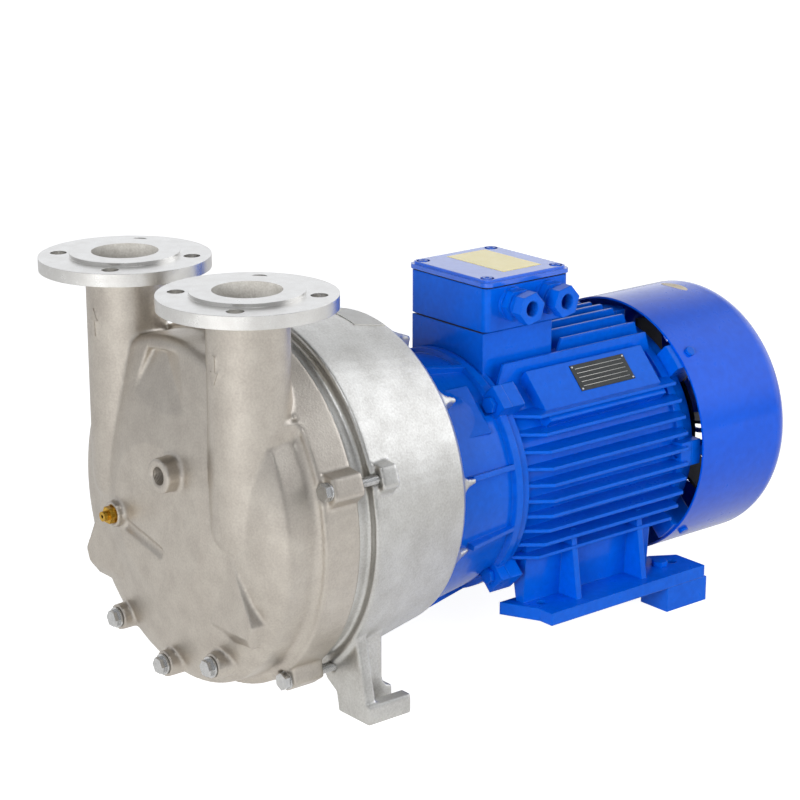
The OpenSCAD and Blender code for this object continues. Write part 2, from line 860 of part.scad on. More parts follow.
module impeller_nut() {
    color(bright_steel) placed() difference() {
        hex_x(impeller_x0 + nut_sink - nut_t, 0, shaft_h, nut_af, nut_t - seat_gap);
        bar_x(impeller_x0, 0, shaft_h, nut_r + seat_gap, nut_sink + eps);
    }
}

// Shield between pump and motor

shield_front_r = 150;
shield_rear_r = frame_r + 4;
shield_wall = 10;
shield_ring_r = frame_r + 10;
ear_r = frame_r + 11;
rear_ear_r = frame_r + 6;
ear_half = 15;
ear_t = 13;
spigot_t = 5;
housing_r = bearing_od / 2 + 12;
drive_bearing_x = shield_x1 - 9 - bearing_w;
bore_in_r = frame_r - frame_wall;

module at_corners(r, start = 45) {
    for (i = [0 : 3])
        translate([0, 0, shaft_h]) rotate([start + 90 * i, 0, 0]) translate([0, 0, r]) children();
}

module drive_shield() {
    front_t = 12;
    color(motor_blue) placed() difference() {
        union() {
            turned(shaft_h) polygon([[0, casing_x1], [shield_front_r, casing_x1],
                [shield_rear_r, shield_x1 - 12], [shield_ring_r, shield_x1 - 10],
                [shield_ring_r, shield_x1], [0, shield_x1]]);
            ring_x(shield_x1 - eps, bore_in_r - seat_gap, bore_in_r - 9, spigot_t + eps);
            at_corners(ear_r) translate([shield_x1 - ear_t, -ear_half, -24])
                cube([ear_t, 2 * ear_half, 24 + ear_half]);
            shield_ribs();
            shield_pad();
        }
        turned(shaft_h) polygon([[0, casing_x1 + front_t], [shield_front_r - shield_wall - 4, casing_x1 + front_t],
            [shield_rear_r - shield_wall, shield_x1 - 14], [housing_r + 6, shield_x1 - 14],
            [housing_r, shield_x1 - 24], [housing_r, drive_bearing_x - 12],
            [shaft_r + 8, drive_bearing_x - 12], [0, drive_bearing_x - 12]]);
        bar_x(casing_x1 - eps, 0, shaft_h, seal_tube_r + 1, front_t + 2 * eps);
        bar_x(drive_bearing_x, 0, shaft_h, bearing_od / 2 + seat_gap, shield_x1 - drive_bearing_x + eps);
        bar_x(drive_bearing_x - 20, 0, shaft_h, bearing_id / 2 + 1, 30);
        at_corners(ear_r) {
            bar_x(shield_x1 - ear_t - eps, 0, 0, bolt_m / 2 + screw_gap, ear_t + 2 * eps);
            bar_x(shield_x1 - ear_t - head_t(bolt_m) - 6, 0, 0, bolt_m + 1, head_t(bolt_m) + 6);
        }
        round_axis(casing_bolt_count, shaft_h, 0)
            bar_x(casing_x1 - eps, 0, casing_bolt_r, bolt_m / 2 + screw_gap, front_t + 2 * eps);
    }
}

// Stiffening ribs along the shield
module shield_ribs() {
    rib_angles = [-75, -105, 75, 105, -20, 20, 160, 200];
    for (a = rib_angles)
        translate([0, 0, shaft_h]) rotate([a, 0, 0])
            rotate([90, 0, 0]) linear_extrude(height = 6, center = true)
                polygon([[casing_x1 + 24, shield_rear_r - 10], [casing_x1 + 30, shield_front_r + 5],
                    [shield_x1 - 10, shield_ring_r], [shield_x1 - 10, shield_rear_r - 10]]);
}

// Flat machined pads at the upper corners of the shield
module shield_pad() {
    pad_w = 62;
    for (s = [-1, 1])
        translate([0, 0, shaft_h]) rotate([s * 45, 0, 0])
            translate([casing_x1 + 34, -pad_w / 2, shield_rear_r - 30]) cube([46, pad_w, 34]);
}

module casing_bolts() {
    front_t = 12;
    color(bright_steel) placed() round_axis(casing_bolt_count, shaft_h, 0) union() {
        hex_x(casing_x1 + front_t, 0, casing_bolt_r, head_af(bolt_m), head_t(bolt_m));
        bar_x(casing_x1 - back_wall + 4, 0, casing_bolt_r, bolt_m / 2, back_wall + front_t - 4 + eps);
    }
}

module shield_bolts() {
    color(motor_blue) placed() at_corners(ear_r) union() {
        hex_x(shield_x1 - ear_t - head_t(bolt_m), 0, 0, head_af(bolt_m), head_t(bolt_m));
        bar_x(shield_x1 - ear_t - eps, 0, 0, bolt_m / 2, ear_t + 14);
    }
}

// Motor frame with fins, feet and box seat

frame_x0 = shield_x1;
base_x0 = frame_x0 + 15;
base_top = spacer_h + base_t;
base_in = base_y - base_w;
web_y = base_in + 8;
fins_a_side = 10;
fin_nose = 26;
seat_z = shaft_h + seat_h;
box_x0 = frame_x0 + 7;
box_x = box_x0 + box_l / 2;
seat_l = box_l - 21;
seat_w = box_w - 10;
seat_x = box_x0 + seat_l / 2;
// Foot holes: their distance, and how far the pair sits behind the middle of the foot
hole_span = 212;
hole_shift = 7.5;
hole_front_x = base_x0 + (base_len - hole_span) / 2 + hole_shift;
spacer_bolt_back = 20;
spacer_len = 66;
spacer_w = 44;
spacer_tail = 26;

module side_fins() {
    for (i = [0 : fins_a_side - 1]) {
        h = (i - (fins_a_side - 1) / 2) * fin_pitch;
        reach = sqrt(fin_r * fin_r - h * h);
        inner = sqrt(frame_r * frame_r - h * h);
        translate([0, 0, shaft_h + h]) linear_extrude(height = fin_t, center = true)
            polygon([[frame_x0 + 4, inner - 20], [frame_x0 + 10, inner + 4], [frame_x0 + 10 + fin_nose, reach],
                [frame_x1 - 12, reach], [frame_x1 - 4, inner + 2], [frame_x1 - 4, inner - 20]]);
    }
}

module top_fins() {
    top_count = 4;
    for (i = [0 : top_count]) {
        y = (i + 0.0) * fin_pitch;
        reach = sqrt(fin_r * fin_r - y * y);
        inner = sqrt(frame_r * frame_r - y * y);
        x0 = y < seat_w / 2 + fin_t ? box_x0 + seat_l + 8 : frame_x0 + 14;
        translate([0, y, shaft_h]) rotate([90, 0, 0]) linear_extrude(height = fin_t, center = true)
            polygon([[x0, inner - 20], [x0 + 4, inner + 4], [x0 + 12, reach],
                [frame_x1 - 12, reach], [frame_x1 - 4, inner + 2], [frame_x1 - 4, inner - 20]]);
        translate([0, y, shaft_h]) mirror([0, 0, 1]) rotate([90, 0, 0])
            linear_extrude(height = fin_t, center = true)
                polygon([[frame_x0 + 14, inner - 20], [frame_x0 + 20, inner + 4], [frame_x0 + 40, reach - 10],
                    [frame_x1 - 40, reach - 10], [frame_x1 - 20, inner + 2], [frame_x1 - 20, inner - 20]]);
    }
}

// Flat corner pads between the fins, for the name plate
module corner_pads() {
    pad_l = frame_len - 80;
    pad_w = 66;
    for (s = [-1, 1])
        translate([0, 0, shaft_h]) rotate([s * 47, 0, 0])
            translate([frame_x0 + 52, -pad_w / 2, frame_r - 30]) cube([pad_l, pad_w, 44]);
}

// One motor foot on the +Y side: plate, web and gussets
module motor_foot() {
    web_t = 12;
    gusset_t = 8;
    gusset_x = [base_x0 + 74, base_x0 + base_len - 92];
    top_z = shaft_h - 62;
    union() {
        translate([base_x0, base_in, spacer_h]) linear_extrude(height = base_t)
            polygon([[0, 0], [22, base_w - 20], [22, base_w], [base_len, base_w], [base_len, 18], [base_len - 30, 0]]);
        along_x(base_x0 + 18) linear_extrude(height = base_len - 72)
            polygon([[web_y, base_top - eps], [web_y + web_t, base_top - eps],
                [web_y + web_t + 6, top_z], [web_y - 20, top_z], [web_y - 12, top_z - 20]]);
        for (x = gusset_x)
            along_x(x) linear_extrude(height = gusset_t)
                polygon([[web_y, base_top - eps], [base_y - 14, base_top - eps], [web_y + web_t + 18, top_z],
                    [web_y, top_z]]);
    }
}

module motor_frame() {
    color(motor_blue) placed() difference() {
        union() {
            bar_x(frame_x0, 0, shaft_h, frame_r, frame_len);
            bar_x(frame_x0, 0, shaft_h, frame_r + 6, 12);
            bar_x(frame_x1 - 12, 0, shaft_h, frame_r + 4, 12);
            at_corners(ear_r) translate([frame_x0, -ear_half, -24]) cube([18, 2 * ear_half, 24 + ear_half]);
            at_corners(rear_ear_r, 0) translate([frame_x1 - 18, -ear_half, -24])
                cube([18, 2 * ear_half, 24 + ear_half - 6]);
            both_sides() {
                side_fins();
                top_fins();
                motor_foot();
            }
            corner_pads();
            translate([box_x0, -seat_w / 2, shaft_h]) cube([seat_l, seat_w, seat_h]);
        }
        bar_x(frame_x0 - eps, 0, shaft_h, bore_in_r, frame_len + 2 * eps);
        at_corners(ear_r) bar_x(frame_x0 - eps, 0, 0, bolt_m / 2 + seat_gap, 18 + 2 * eps);
        at_corners(rear_ear_r, 0) bar_x(frame_x1 - 18 - eps, 0, 0, bolt_m / 2 + seat_gap, 18 + 2 * eps);
        bar_z(seat_x, 0, shaft_h, 28, seat_h + eps);
        both_sides() {
            for (i = [0, 1])
                bar_z(hole_front_x + i * hole_span, base_hole_y, spacer_h - eps, base_hole_d / 2,
                    base_t + 2 * eps);
            bar_z(hole_front_x + hole_span - spacer_bolt_back, base_hole_y, spacer_h - eps,
                bolt_m / 2 + screw_gap, base_t + 2 * eps);
        }
    }
}

core_x0 = frame_x0 + (frame_len - core_len) / 2 + 4;
winding_len = 34;
winding_gap = 6;

module stator_core() {
    slot_count = 24;
    slot_depth = 24;
    color(core_grey) placed() difference() {
        bar_x(core_x0, 0, shaft_h, bore_in_r - seat_gap, core_len);
        bar_x(core_x0 - eps, 0, shaft_h, rotor_r + air_gap, core_len + 2 * eps);
        round_axis(slot_count, shaft_h)
            translate([core_x0 - eps, -4, rotor_r + air_gap + 4])
                cube([core_len + 2 * eps, 8, slot_depth]);
    }
}

module stator_windings() {
    in_r = rotor_r + air_gap + 6;
    out_r = bore_in_r - 10;
    color(copper) placed() for (x = [core_x0 - winding_len, core_x0 + core_len])
        turned(shaft_h) intersection() {
            translate([in_r, x]) square([out_r - in_r, winding_len]);
            translate([(in_r + out_r) / 2, x + winding_len / 2]) circle(r = winding_len * 0.62);
        }
}

// Shaft and rotor

rear_bearing_x = frame_x1 + 1;
fan_x = frame_x1 + 50;
fan_hub_len = 38;
fan_seat_r = 19;
shaft_end_x = fan_x + fan_hub_len + 8;
core_shaft_r = 30;
race_r = bearing_id / 2;
circlip_t = 2;

module motor_shaft() {
    color(bright_steel) placed() difference() {
        turned(shaft_h) polygon([[0, impeller_x0 + 2], [nut_r, impeller_x0 + 2],
            [nut_r, impeller_x0 + nut_sink], [shaft_r, impeller_x0 + nut_sink],
            [shaft_r, drive_bearing_x - 4], [race_r, drive_bearing_x - 4],
            [race_r, drive_bearing_x + bearing_w], [core_shaft_r, drive_bearing_x + bearing_w],
            [core_shaft_r, rear_bearing_x], [race_r, rear_bearing_x],
            [race_r, rear_bearing_x + bearing_w + 12], [fan_seat_r, rear_bearing_x + bearing_w + 12],
            [fan_seat_r, fan_x + fan_hub_len], [fan_seat_r - 1.5, fan_x + fan_hub_len],
            [fan_seat_r - 1.5, fan_x + fan_hub_len + circlip_t + 0.2],
            [fan_seat_r, fan_x + fan_hub_len + circlip_t + 0.2], [fan_seat_r, shaft_end_x], [0, shaft_end_x]]);
        translate([key_x - seat_gap, -key_w / 2 - seat_gap, shaft_h + shaft_r - key_h / 2 - seat_gap])
            cube([key_len + 2 * seat_gap, key_w + 2 * seat_gap, key_h]);
        fan_key_space(seat_gap);
    }
}

module rotor_core() {
    color(core_grey) placed() ring_x(core_x0, rotor_r, core_shaft_r + seat_gap, core_len);
}

module rotor_end_rings() {
    ring_len = 14;
    vane_count = 8;
    color(bright_steel) placed() for (s = [0, 1])
        union() {
            ring_x(s == 0 ? core_x0 - ring_len : core_x0 + core_len, rotor_r - 2, rotor_r - 22, ring_len);
            round_axis(vane_count, shaft_h)
                translate([s == 0 ? core_x0 - ring_len - 12 : core_x0 + core_len + ring_len - eps, -2.5, rotor_r - 20])
                    cube([12 + eps, 5, 16]);
        }
}

// Deep-groove ball bearing pieces

pitch_r = (bearing_od + bearing_id) / 4;
groove_gap = 0.2;
race_t = (bearing_od - bearing_id) / 4 - ball_d * 0.27;

module bearing_outer(x) {
    color(bright_steel) placed() turned(shaft_h) difference() {
        translate([bearing_od / 2 - race_t, x]) square([race_t, bearing_w]);
        translate([pitch_r, x + bearing_w / 2]) circle(r = ball_d / 2 + groove_gap);
    }
}

module bearing_inner(x) {
    color(bright_steel) placed() turned(shaft_h) difference() {
        translate([race_r + seat_gap, x]) square([race_t - seat_gap, bearing_w]);
        translate([pitch_r, x + bearing_w / 2]) circle(r = ball_d / 2 + groove_gap);
    }
}

module bearing_balls(x) {
    cage_half = ball_d * 0.16;
    color(brass_gold) placed() union() {
        round_axis(ball_count, shaft_h) translate([x + bearing_w / 2, 0, pitch_r]) sphere(d = ball_d);
        ring_x(x + bearing_w / 2 - ball_d * 0.35, pitch_r + cage_half, pitch_r - cage_half, ball_d * 0.7);
    }
}

module drive_bearing_outer() { bearing_outer(drive_bearing_x); }
module drive_bearing_inner() { bearing_inner(drive_bearing_x); }
module drive_bearing_balls() { bearing_balls(drive_bearing_x); }
module rear_bearing_outer() { bearing_outer(rear_bearing_x); }
module rear_bearing_inner() { bearing_inner(rear_bearing_x); }
module rear_bearing_balls() { bearing_balls(rear_bearing_x); }

preload_t = 2;

module preload_washer() {
    color(bright_steel) placed()
        ring_x(rear_bearing_x + bearing_w, bearing_od / 2 - 0.5, bearing_od / 2 - race_t + 1, preload_t);
}

// Slinger ring on the shaft, just outside the drive bearing housing
module shaft_slinger() {
    slinger_t = 9;
    color(seal_black) placed()
        ring_x(drive_bearing_x - 12 - slinger_t - run_gap, shaft_r + 14, shaft_r + seat_gap, slinger_t);
}

// Fan end

rear_shield_t = 14;
lug_reach = cowl_r - cowl_sheet - seat_gap;
screw_x = cowl_x0 + 18;
screw_m = 6;

module rear_shield() {
    seat_len_rear = bearing_w + preload_t + 1;
    hub_end = rear_bearing_x + bearing_w + preload_t + 8;
    color(motor_blue) placed() difference() {
        union() {
            bar_x(frame_x1, 0, shaft_h, frame_r + 2, rear_shield_t);
            bar_x(frame_x1, 0, shaft_h, housing_r, hub_end - frame_x1);
            ring_x(frame_x1 - spigot_t, bore_in_r - seat_gap, bore_in_r - 9, spigot_t + eps);
            at_corners(rear_ear_r, 0) translate([frame_x1, -ear_half, -24])
                cube([rear_shield_t, 2 * ear_half, 24 + ear_half - 6]);
            cowl_lugs();
        }
        bar_x(frame_x1 - eps, 0, shaft_h, bearing_od / 2 + seat_gap, seat_len_rear + eps);
        bar_x(frame_x1 - eps, 0, shaft_h, race_r + 1, 80);
        at_corners(rear_ear_r, 0) bar_x(frame_x1 - eps, 0, 0, bolt_m / 2 + screw_gap, 20);
        cowl_screw_holes(screw_m / 2 + seat_gap, lug_reach - 20, 30);
    }
}

// Lugs that carry the cowl, between the bolt ears
module cowl_lugs() {
    for (a = [45, 135, 225, 315])
        translate([0, 0, shaft_h]) rotate([a, 0, 0]) intersection() {
            translate([frame_x1, -16, frame_r - 20]) cube([screw_x - frame_x1 + 10, 32, 80]);
            bar_x(frame_x1, 0, 0, lug_reach, 80);
        }
}

module cowl_screw_holes(r, from_r, len) {
    for (a = [45, 135, 225, 315])
        translate([0, 0, shaft_h]) rotate([a, 0, 0]) bar_z(screw_x, 0, from_r, r, len);
}

module rear_shield_bolts() {
    color(motor_blue) placed() at_corners(rear_ear_r, 0) union() {
        hex_x(frame_x1 + rear_shield_t, 0, 0, head_af(bolt_m), head_t(bolt_m));
        bar_x(frame_x1 - 14, 0, 0, bolt_m / 2, rear_shield_t + 14 + eps);
    }
}

fan_hub_r = 34;
fan_key_w = 8;
fan_key_h = 7;
fan_key_len = 26;

module fan_key_space(gap) {
    translate([fan_x + 6 - gap, -fan_key_w / 2 - gap, shaft_h + fan_seat_r - fan_key_h / 2 - gap])
        cube([fan_key_len + 2 * gap, fan_key_w + 2 * gap, fan_key_h + 2 * gap]);
}

module fan() {
    blade_l = fan_r - fan_hub_r;
    color(fan_black) placed() difference() {
        union() {
            bar_x(fan_x, 0, shaft_h, fan_hub_r, fan_hub_len);
            bar_x(fan_x, 0, shaft_h, fan_r * 0.8, 4);
            round_axis(fan_blades, shaft_h) rotate([90, 0, 0]) linear_extrude(height = 4, center = true)
                polygon([[fan_x, fan_hub_r - 4], [fan_x + fan_hub_len, fan_hub_r - 4],
                    [fan_x + fan_hub_len + 6, fan_hub_r + blade_l * 0.5], [fan_x + fan_hub_len, fan_r],
                    [fan_x, fan_r]]);
        }
        bar_x(fan_x - eps, 0, shaft_h, fan_seat_r + seat_gap, fan_hub_len + 2 * eps);
        fan_key_space(seat_gap);
        translate([fan_x - eps, -fan_key_w / 2 - seat_gap, shaft_h])
            cube([10, fan_key_w + 2 * seat_gap, fan_seat_r + fan_key_h / 2 + seat_gap]);
    }
}

module fan_key() {
    color(bright_steel) placed() fan_key_space(0);
}

module fan_circlip() {
    color(bright_steel) placed() difference() {
        ring_x(fan_x + fan_hub_len + 0.1, fan_seat_r + 4, fan_seat_r - 1.5 + seat_gap, circlip_t);
        translate([fan_x + fan_hub_len - 1, -4, shaft_h - fan_seat_r - 8]) cube([circlip_t + 2, 8, 12]);
    }
}

// Rounded pot outline of the cowl, drawn as radius and x
module cowl_outline(shrink) {
    r = cowl_r - shrink;
    end = cowl_x1 - shrink;
    round_r = cowl_round - shrink;
    union() {
        translate([0, cowl_x0 - eps]) square([r, end - round_r - cowl_x0 + eps]);
        translate([0, end - round_r - eps]) square([r - round_r, round_r + eps]);
        translate([r - round_r, end - round_r]) circle(r = round_r);
    }
}

// Ring slots of the air inlet, parted by four bridges
module cowl_grille() {
    slot_rings = 6;
    ring_step = 15;
    slot = 9;
    bridge = 14;
    difference() {
        for (i = [0 : slot_rings - 1]) {
            r_in = 26 + i * ring_step;
            ring_x(cowl_x1 - cowl_sheet - 1, r_in + slot, r_in, cowl_sheet + 2);
        }
        for (a = [45, 135])
            translate([cowl_x1 - 10, 0, shaft_h]) rotate([a, 0, 0])
                translate([0, -bridge / 2, -cowl_r]) cube([20, bridge, 2 * cowl_r]);
    }
}

module fan_cowl() {
    color(motor_blue) placed() difference() {
        turned(shaft_h) difference() {
            cowl_outline(0);
            cowl_outline(cowl_sheet);
            translate([-1, cowl_x0 - 2]) square([cowl_r + 10, 2]);
        }
        cowl_grille();
        cowl_screw_holes(screw_m / 2 + screw_gap, cowl_r - 20, 40);
    }
}

module cowl_screws() {
    screw_head_r = 6;
    screw_head_t = 3.5;
    color(motor_blue) placed() for (a = [45, 135, 225, 315])
        translate([0, 0, shaft_h]) rotate([a, 0, 0]) union() {
            bar_z(screw_x, 0, cowl_r, screw_head_r, screw_head_t);
            bar_z(screw_x, 0, lug_reach - 14, screw_m / 2, 14 + cowl_sheet + 1);
        }
}

// Terminal box

box_gasket_t = 2;
box_z0 = seat_z + box_gasket_t;
lid_gasket_t = 2;
box_z1 = box_z0 + box_h;
lid_z0 = box_z1 + lid_gasket_t;
corner_r = 8;
post_r = 9;
lid_screw_d = 6;
lid_sink = 4;
lid_sink_z = lid_z0 + lid_t - lid_sink;
gland_z = box_z0 + box_h * 0.58;
gland_xs = [box_x - box_l / 2 + 38, box_x + box_l / 2 - 35];
gland_body_r = 15;

module at_lid_screws() {
    for (sx = [-1, 1], sy = [-1, 1])
        translate([box_x + sx * (box_l / 2 - 11), sy * (box_w / 2 - 11), 0]) children();
}

module box_gasket() {
    color(seal_black) placed() difference() {
        translate([seat_x, 0, seat_z]) linear_extrude(height = box_gasket_t)
            rounded_rect(seat_l - 2, seat_w - 2, corner_r);
        bar_z(seat_x, 0, seat_z - eps, 30, box_gasket_t + 2 * eps);
    }
}

module terminal_box() {
    color(motor_blue) placed() difference() {
        union() {
            difference() {
                translate([box_x, 0, box_z0]) linear_extrude(height = box_h)
                    rounded_rect(box_l, box_w, corner_r);
                translate([box_x, 0, box_z0 + box_wall]) linear_extrude(height = box_h)
                    rounded_rect(box_l - 2 * box_wall, box_w - 2 * box_wall, corner_r - box_wall);
            }
            at_lid_screws() bar_z(0, 0, box_z0, post_r, box_h);
            for (x = gland_xs)
                translate([x, -box_w / 2 + eps, gland_z]) rotate([90, 0, 0])
                    cylinder(r = gland_body_r + 4, h = 4 + eps);
        }
        bar_z(seat_x, 0, box_z0 - eps, 30, box_wall + 2 * eps);
        at_lid_screws() bar_z(0, 0, box_z0 + 12, lid_screw_d / 2 + seat_gap, box_h);
        for (x = gland_xs)
            translate([x, -box_w / 2 + box_wall + 3, gland_z]) rotate([90, 0, 0])
                cylinder(r = gland_body_r + seat_gap, h = box_wall + 10);
    }
}

module lid_gasket() {
    color(seal_black) placed() {
        translate([box_x, 0, box_z1]) linear_extrude(height = lid_gasket_t) difference() {
            rounded_rect(box_l - 2, box_w - 2, corner_r - 1);
            rounded_rect(box_l - 2 * box_wall, box_w - 2 * box_wall, corner_r - box_wall);
        }
    }
}

module terminal_lid() {
    lid_lip = 2;
    color(motor_blue) placed() difference() {
        union() {
            translate([box_x, 0, lid_z0]) linear_extrude(height = lid_t - 3)
                rounded_rect(box_l + 2 * lid_lip, box_w + 2 * lid_lip, corner_r + lid_lip);
            translate([box_x, 0, lid_z0 + lid_t - 3 - eps]) linear_extrude(height = 3 + eps)
                rounded_rect(box_l - 4, box_w - 4, corner_r - 2);
        }
        translate([box_x, 0, lid_z0 - eps]) linear_extrude(height = lid_t - 4)
            rounded_rect(box_l - 40, box_w - 40, corner_r);
        at_lid_screws() {
            bar_z(0, 0, lid_z0 - eps, lid_screw_d / 2 + screw_gap, lid_t + 2 * eps);
            bar_z(0, 0, lid_sink_z, post_r - 1, lid_sink + eps);
        }
    }
}

module lid_screws() {
    screw_head_t = 4.5;
    screw_len = lid_sink_z - box_z0 - 26;
    color(bright_steel) placed() at_lid_screws() difference() {
        union() {
            bar_z(0, 0, lid_sink_z, lid_screw_d * 0.9, screw_head_t);
            bar_z(0, 0, lid_sink_z - screw_len, lid_screw_d / 2, screw_len + eps);
        }
        bar_z(0, 0, lid_sink_z + screw_head_t / 2, lid_screw_d * 0.45, screw_head_t, $fn = 6);
    }
}

board_l = 62;
board_w = 26;
board_y = box_w / 2 - box_wall - board_w / 2 - 4;
board_t = 12;
stud_m = 5;
stud_step = 20;

module terminal_board() {
    color(seal_black) placed() difference() {
        translate([box_x - board_l / 2, board_y - board_w / 2, box_z0 + box_wall])
            cube([board_l, board_w, board_t]);
        at_studs() bar_z(0, 0, box_z0 + box_wall + 2, stud_m / 2 + seat_gap, board_t);
    }
}

module at_studs() {
    for (i = [-1 : 1], j = [0, 1])
        translate([box_x + i * stud_step, board_y + (j - 0.5) * 14, 0]) children();
}

module terminal_studs() {
    color(brass_gold) placed() at_studs() union() {
        bar_z(0, 0, box_z0 + box_wall + 3, stud_m / 2, board_t + 14);
        bar_z(0, 0, box_z0 + box_wall + board_t, hex_r(8), 4, $fn = 6);
    }
}

// Cable glands on the -Y side of the box
gland_len = 17;
gland_thread_len = 11;
gland_neck_len = 7;
gland_nut_turn = 12;
gland_y = -box_w / 2 - 4;

module at_glands() {
    for (x = gland_xs)
        translate([x, gland_y, gland_z]) rotate([90, 0, 0]) children();
}

module gland_bodies() {
    color(motor_blue) placed() at_glands() difference() {
        union() {
            translate([0, 0, -gland_thread_len]) cylinder(r = gland_body_r, h = gland_thread_len + eps);
            cylinder(r = hex_r(gland_af), h = gland_len - gland_neck_len, $fn = 6);
            cylinder(r = gland_body_r - 1, h = gland_len);
        }
        translate([0, 0, -gland_thread_len - eps])
            cylinder(r = gland_bore / 2, h = gland_thread_len + gland_len + 2 * eps);
    }
}

module gland_nuts() {
    nut_len = 14;
    color(motor_blue) placed() at_glands() difference() {
        translate([0, 0, gland_len]) rotate([0, 0, gland_nut_turn])
            cylinder(r = hex_r(gland_af - 1), h = nut_len, $fn = 6);
        translate([0, 0, gland_len - eps]) cylinder(r = gland_bore / 2, h = nut_len + 2 * eps);
    }
}

// Blocks that lift the motor feet to the shaft height

spacer_x1 = hole_front_x + hole_span + spacer_tail;
spacer_bolt_x = hole_front_x + hole_span - spacer_bolt_back;

module foot_spacers() {
    color(motor_blue) placed() both_sides() difference() {
        translate([spacer_x1 - spacer_len, base_y - spacer_w, 0]) cube([spacer_len, spacer_w, spacer_h]);
        bar_z(spacer_bolt_x, base_hole_y, 8, bolt_m / 2 + seat_gap, spacer_h);
        bar_z(hole_front_x + hole_span, base_hole_y, -eps, base_hole_d / 2, spacer_h + 2 * eps);
    }
}

module spacer_bolts() {
    color(motor_blue) placed() both_sides() union() {
        bar_z(spacer_bolt_x, base_hole_y, base_top, hex_r(head_af(bolt_m)), head_t(bolt_m), $fn = 6);
        bar_z(spacer_bolt_x, base_hole_y, 10, bolt_m / 2, base_top - 10 + eps);
    }
}

front_cover();
cover_gasket();
port_plate();
valve_flap();
valve_guard();
valve_screws();
pump_casing();
cover_bolts();
cover_washers();
drain_plugs();
plug_seals();
vent_plug();
seal_seat();
seal_head();
impeller();
impeller_key();
impeller_nut();
drive_shield();
casing_bolts();
shield_bolts();
motor_frame();
stator_core();
stator_windings();
motor_shaft();
rotor_core();
rotor_end_rings();
drive_bearing_outer();
drive_bearing_inner();
drive_bearing_balls();
rear_bearing_outer();
rear_bearing_inner();
rear_bearing_balls();
preload_washer();
shaft_slinger();
rear_shield();
rear_shield_bolts();
fan();
fan_key();
fan_circlip();
fan_cowl();
cowl_screws();
box_gasket();
terminal_box();
lid_gasket();
terminal_lid();
lid_screws();
terminal_board();
terminal_studs();
gland_bodies();
gland_nuts();
foot_spacers();
spacer_bolts();
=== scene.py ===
"""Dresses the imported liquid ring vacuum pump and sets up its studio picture.

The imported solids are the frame: their objects keep their places. This script gives them
finishes, rounds the castings, adds the bare plates, arrows and thread turns, and builds
the studio. Lengths are in metres unless a name ends in _mm. X runs along the shaft from
the pump to the fan, Y to the discharge port, Z up from the floor.
"""

import json
import logging
import math
from dataclasses import dataclass, field
from enum import Enum
from typing import Any, Callable, ClassVar, Optional

import bmesh
import bpy
from mathutils import Matrix, Vector

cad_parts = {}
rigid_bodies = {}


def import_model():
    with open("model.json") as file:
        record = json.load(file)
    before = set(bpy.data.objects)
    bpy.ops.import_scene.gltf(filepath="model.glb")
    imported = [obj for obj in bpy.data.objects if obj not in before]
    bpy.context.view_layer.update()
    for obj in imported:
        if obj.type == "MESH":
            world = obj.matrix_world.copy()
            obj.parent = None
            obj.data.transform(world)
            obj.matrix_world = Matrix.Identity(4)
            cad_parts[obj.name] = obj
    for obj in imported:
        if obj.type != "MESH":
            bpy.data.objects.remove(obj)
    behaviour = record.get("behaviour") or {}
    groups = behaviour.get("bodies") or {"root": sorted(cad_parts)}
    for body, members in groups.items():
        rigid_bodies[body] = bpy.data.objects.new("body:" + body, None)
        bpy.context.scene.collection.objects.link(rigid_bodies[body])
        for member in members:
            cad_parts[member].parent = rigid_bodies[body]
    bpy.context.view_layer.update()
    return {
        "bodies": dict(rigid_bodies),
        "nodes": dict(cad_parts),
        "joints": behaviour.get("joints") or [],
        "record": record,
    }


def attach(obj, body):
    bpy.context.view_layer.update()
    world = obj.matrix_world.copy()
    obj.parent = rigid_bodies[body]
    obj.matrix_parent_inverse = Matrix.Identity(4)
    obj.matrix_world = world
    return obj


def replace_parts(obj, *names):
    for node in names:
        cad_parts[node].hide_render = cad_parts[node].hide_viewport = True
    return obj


LOG = logging.getLogger("pump_scene")
MM = 0.001

# Middle of the whole pump, counted along the shaft from the plane of the port axes
PUMP_MIDDLE_MM = 341.25
SHAFT_HEIGHT = 190 * MM
CASING_HEIGHT_MM = 215.0
PORT_OFFSET = 112 * MM
PORT_BORE = 38 * MM
PORT_BORE_END = 300 * MM

# The flanges reach a little into the pipes' skin, so that no gap shows between them
FLANGE_BOTTOM = 455.5 * MM
SKIN_TOP = 457.8 * MM

# Surfaces that carry plates and labels
PAD_LEAN_DEG = 47.0
PAD_REACH_MM = 146.0
LID_TOP_MM = 422.0
COWL_RADIUS_MM = 157.5
CONE_START_MM = 94.0
CONE_RADIUS_MM = 204.0
CONE_TAPER = 24 / 136

# Edges with a wider angle between their faces stay crisp
CAST_CRISP_DEG = 60.0
TURNED_CRISP_DEG = 30.0
SHEET_CRISP_DEG = 40.0

# Points nearer than this are one point
MERGE = 1e-6

WHITE = (1.0, 1.0, 1.0, 1.0)
CLIP_END = 50.0
PUMP_BODY = "pump"

Tree = bpy.types.NodeTree
Socket = bpy.types.NodeSocket
Mesh = bpy.types.Mesh
Material = bpy.types.Material
Thing = bpy.types.Object
Point = tuple[float, float, float]
Loaded = dict[str, Any]
# Gives the point for a distance along, a distance across and a lift, all in mm
Place = Callable[[float, float, float], Vector]


class Around(Enum):
    """Axis that a turned surface was machined about."""

    PORTS = "ports"
    SHAFT = "shaft"


class Shape(Enum):
    """Outline of a plate or label."""

    SQUARE = "square"
    OVAL = "oval"


def along_shaft(x_mm: float) -> float:
    """Turns a distance from the port plane into the frame's X.

    Args:
        x_mm: Distance behind the plane of the two port axes, in millimetres.

    Returns:
        The X coordinate in metres.
    """
    return (x_mm - PUMP_MIDDLE_MM) * MM


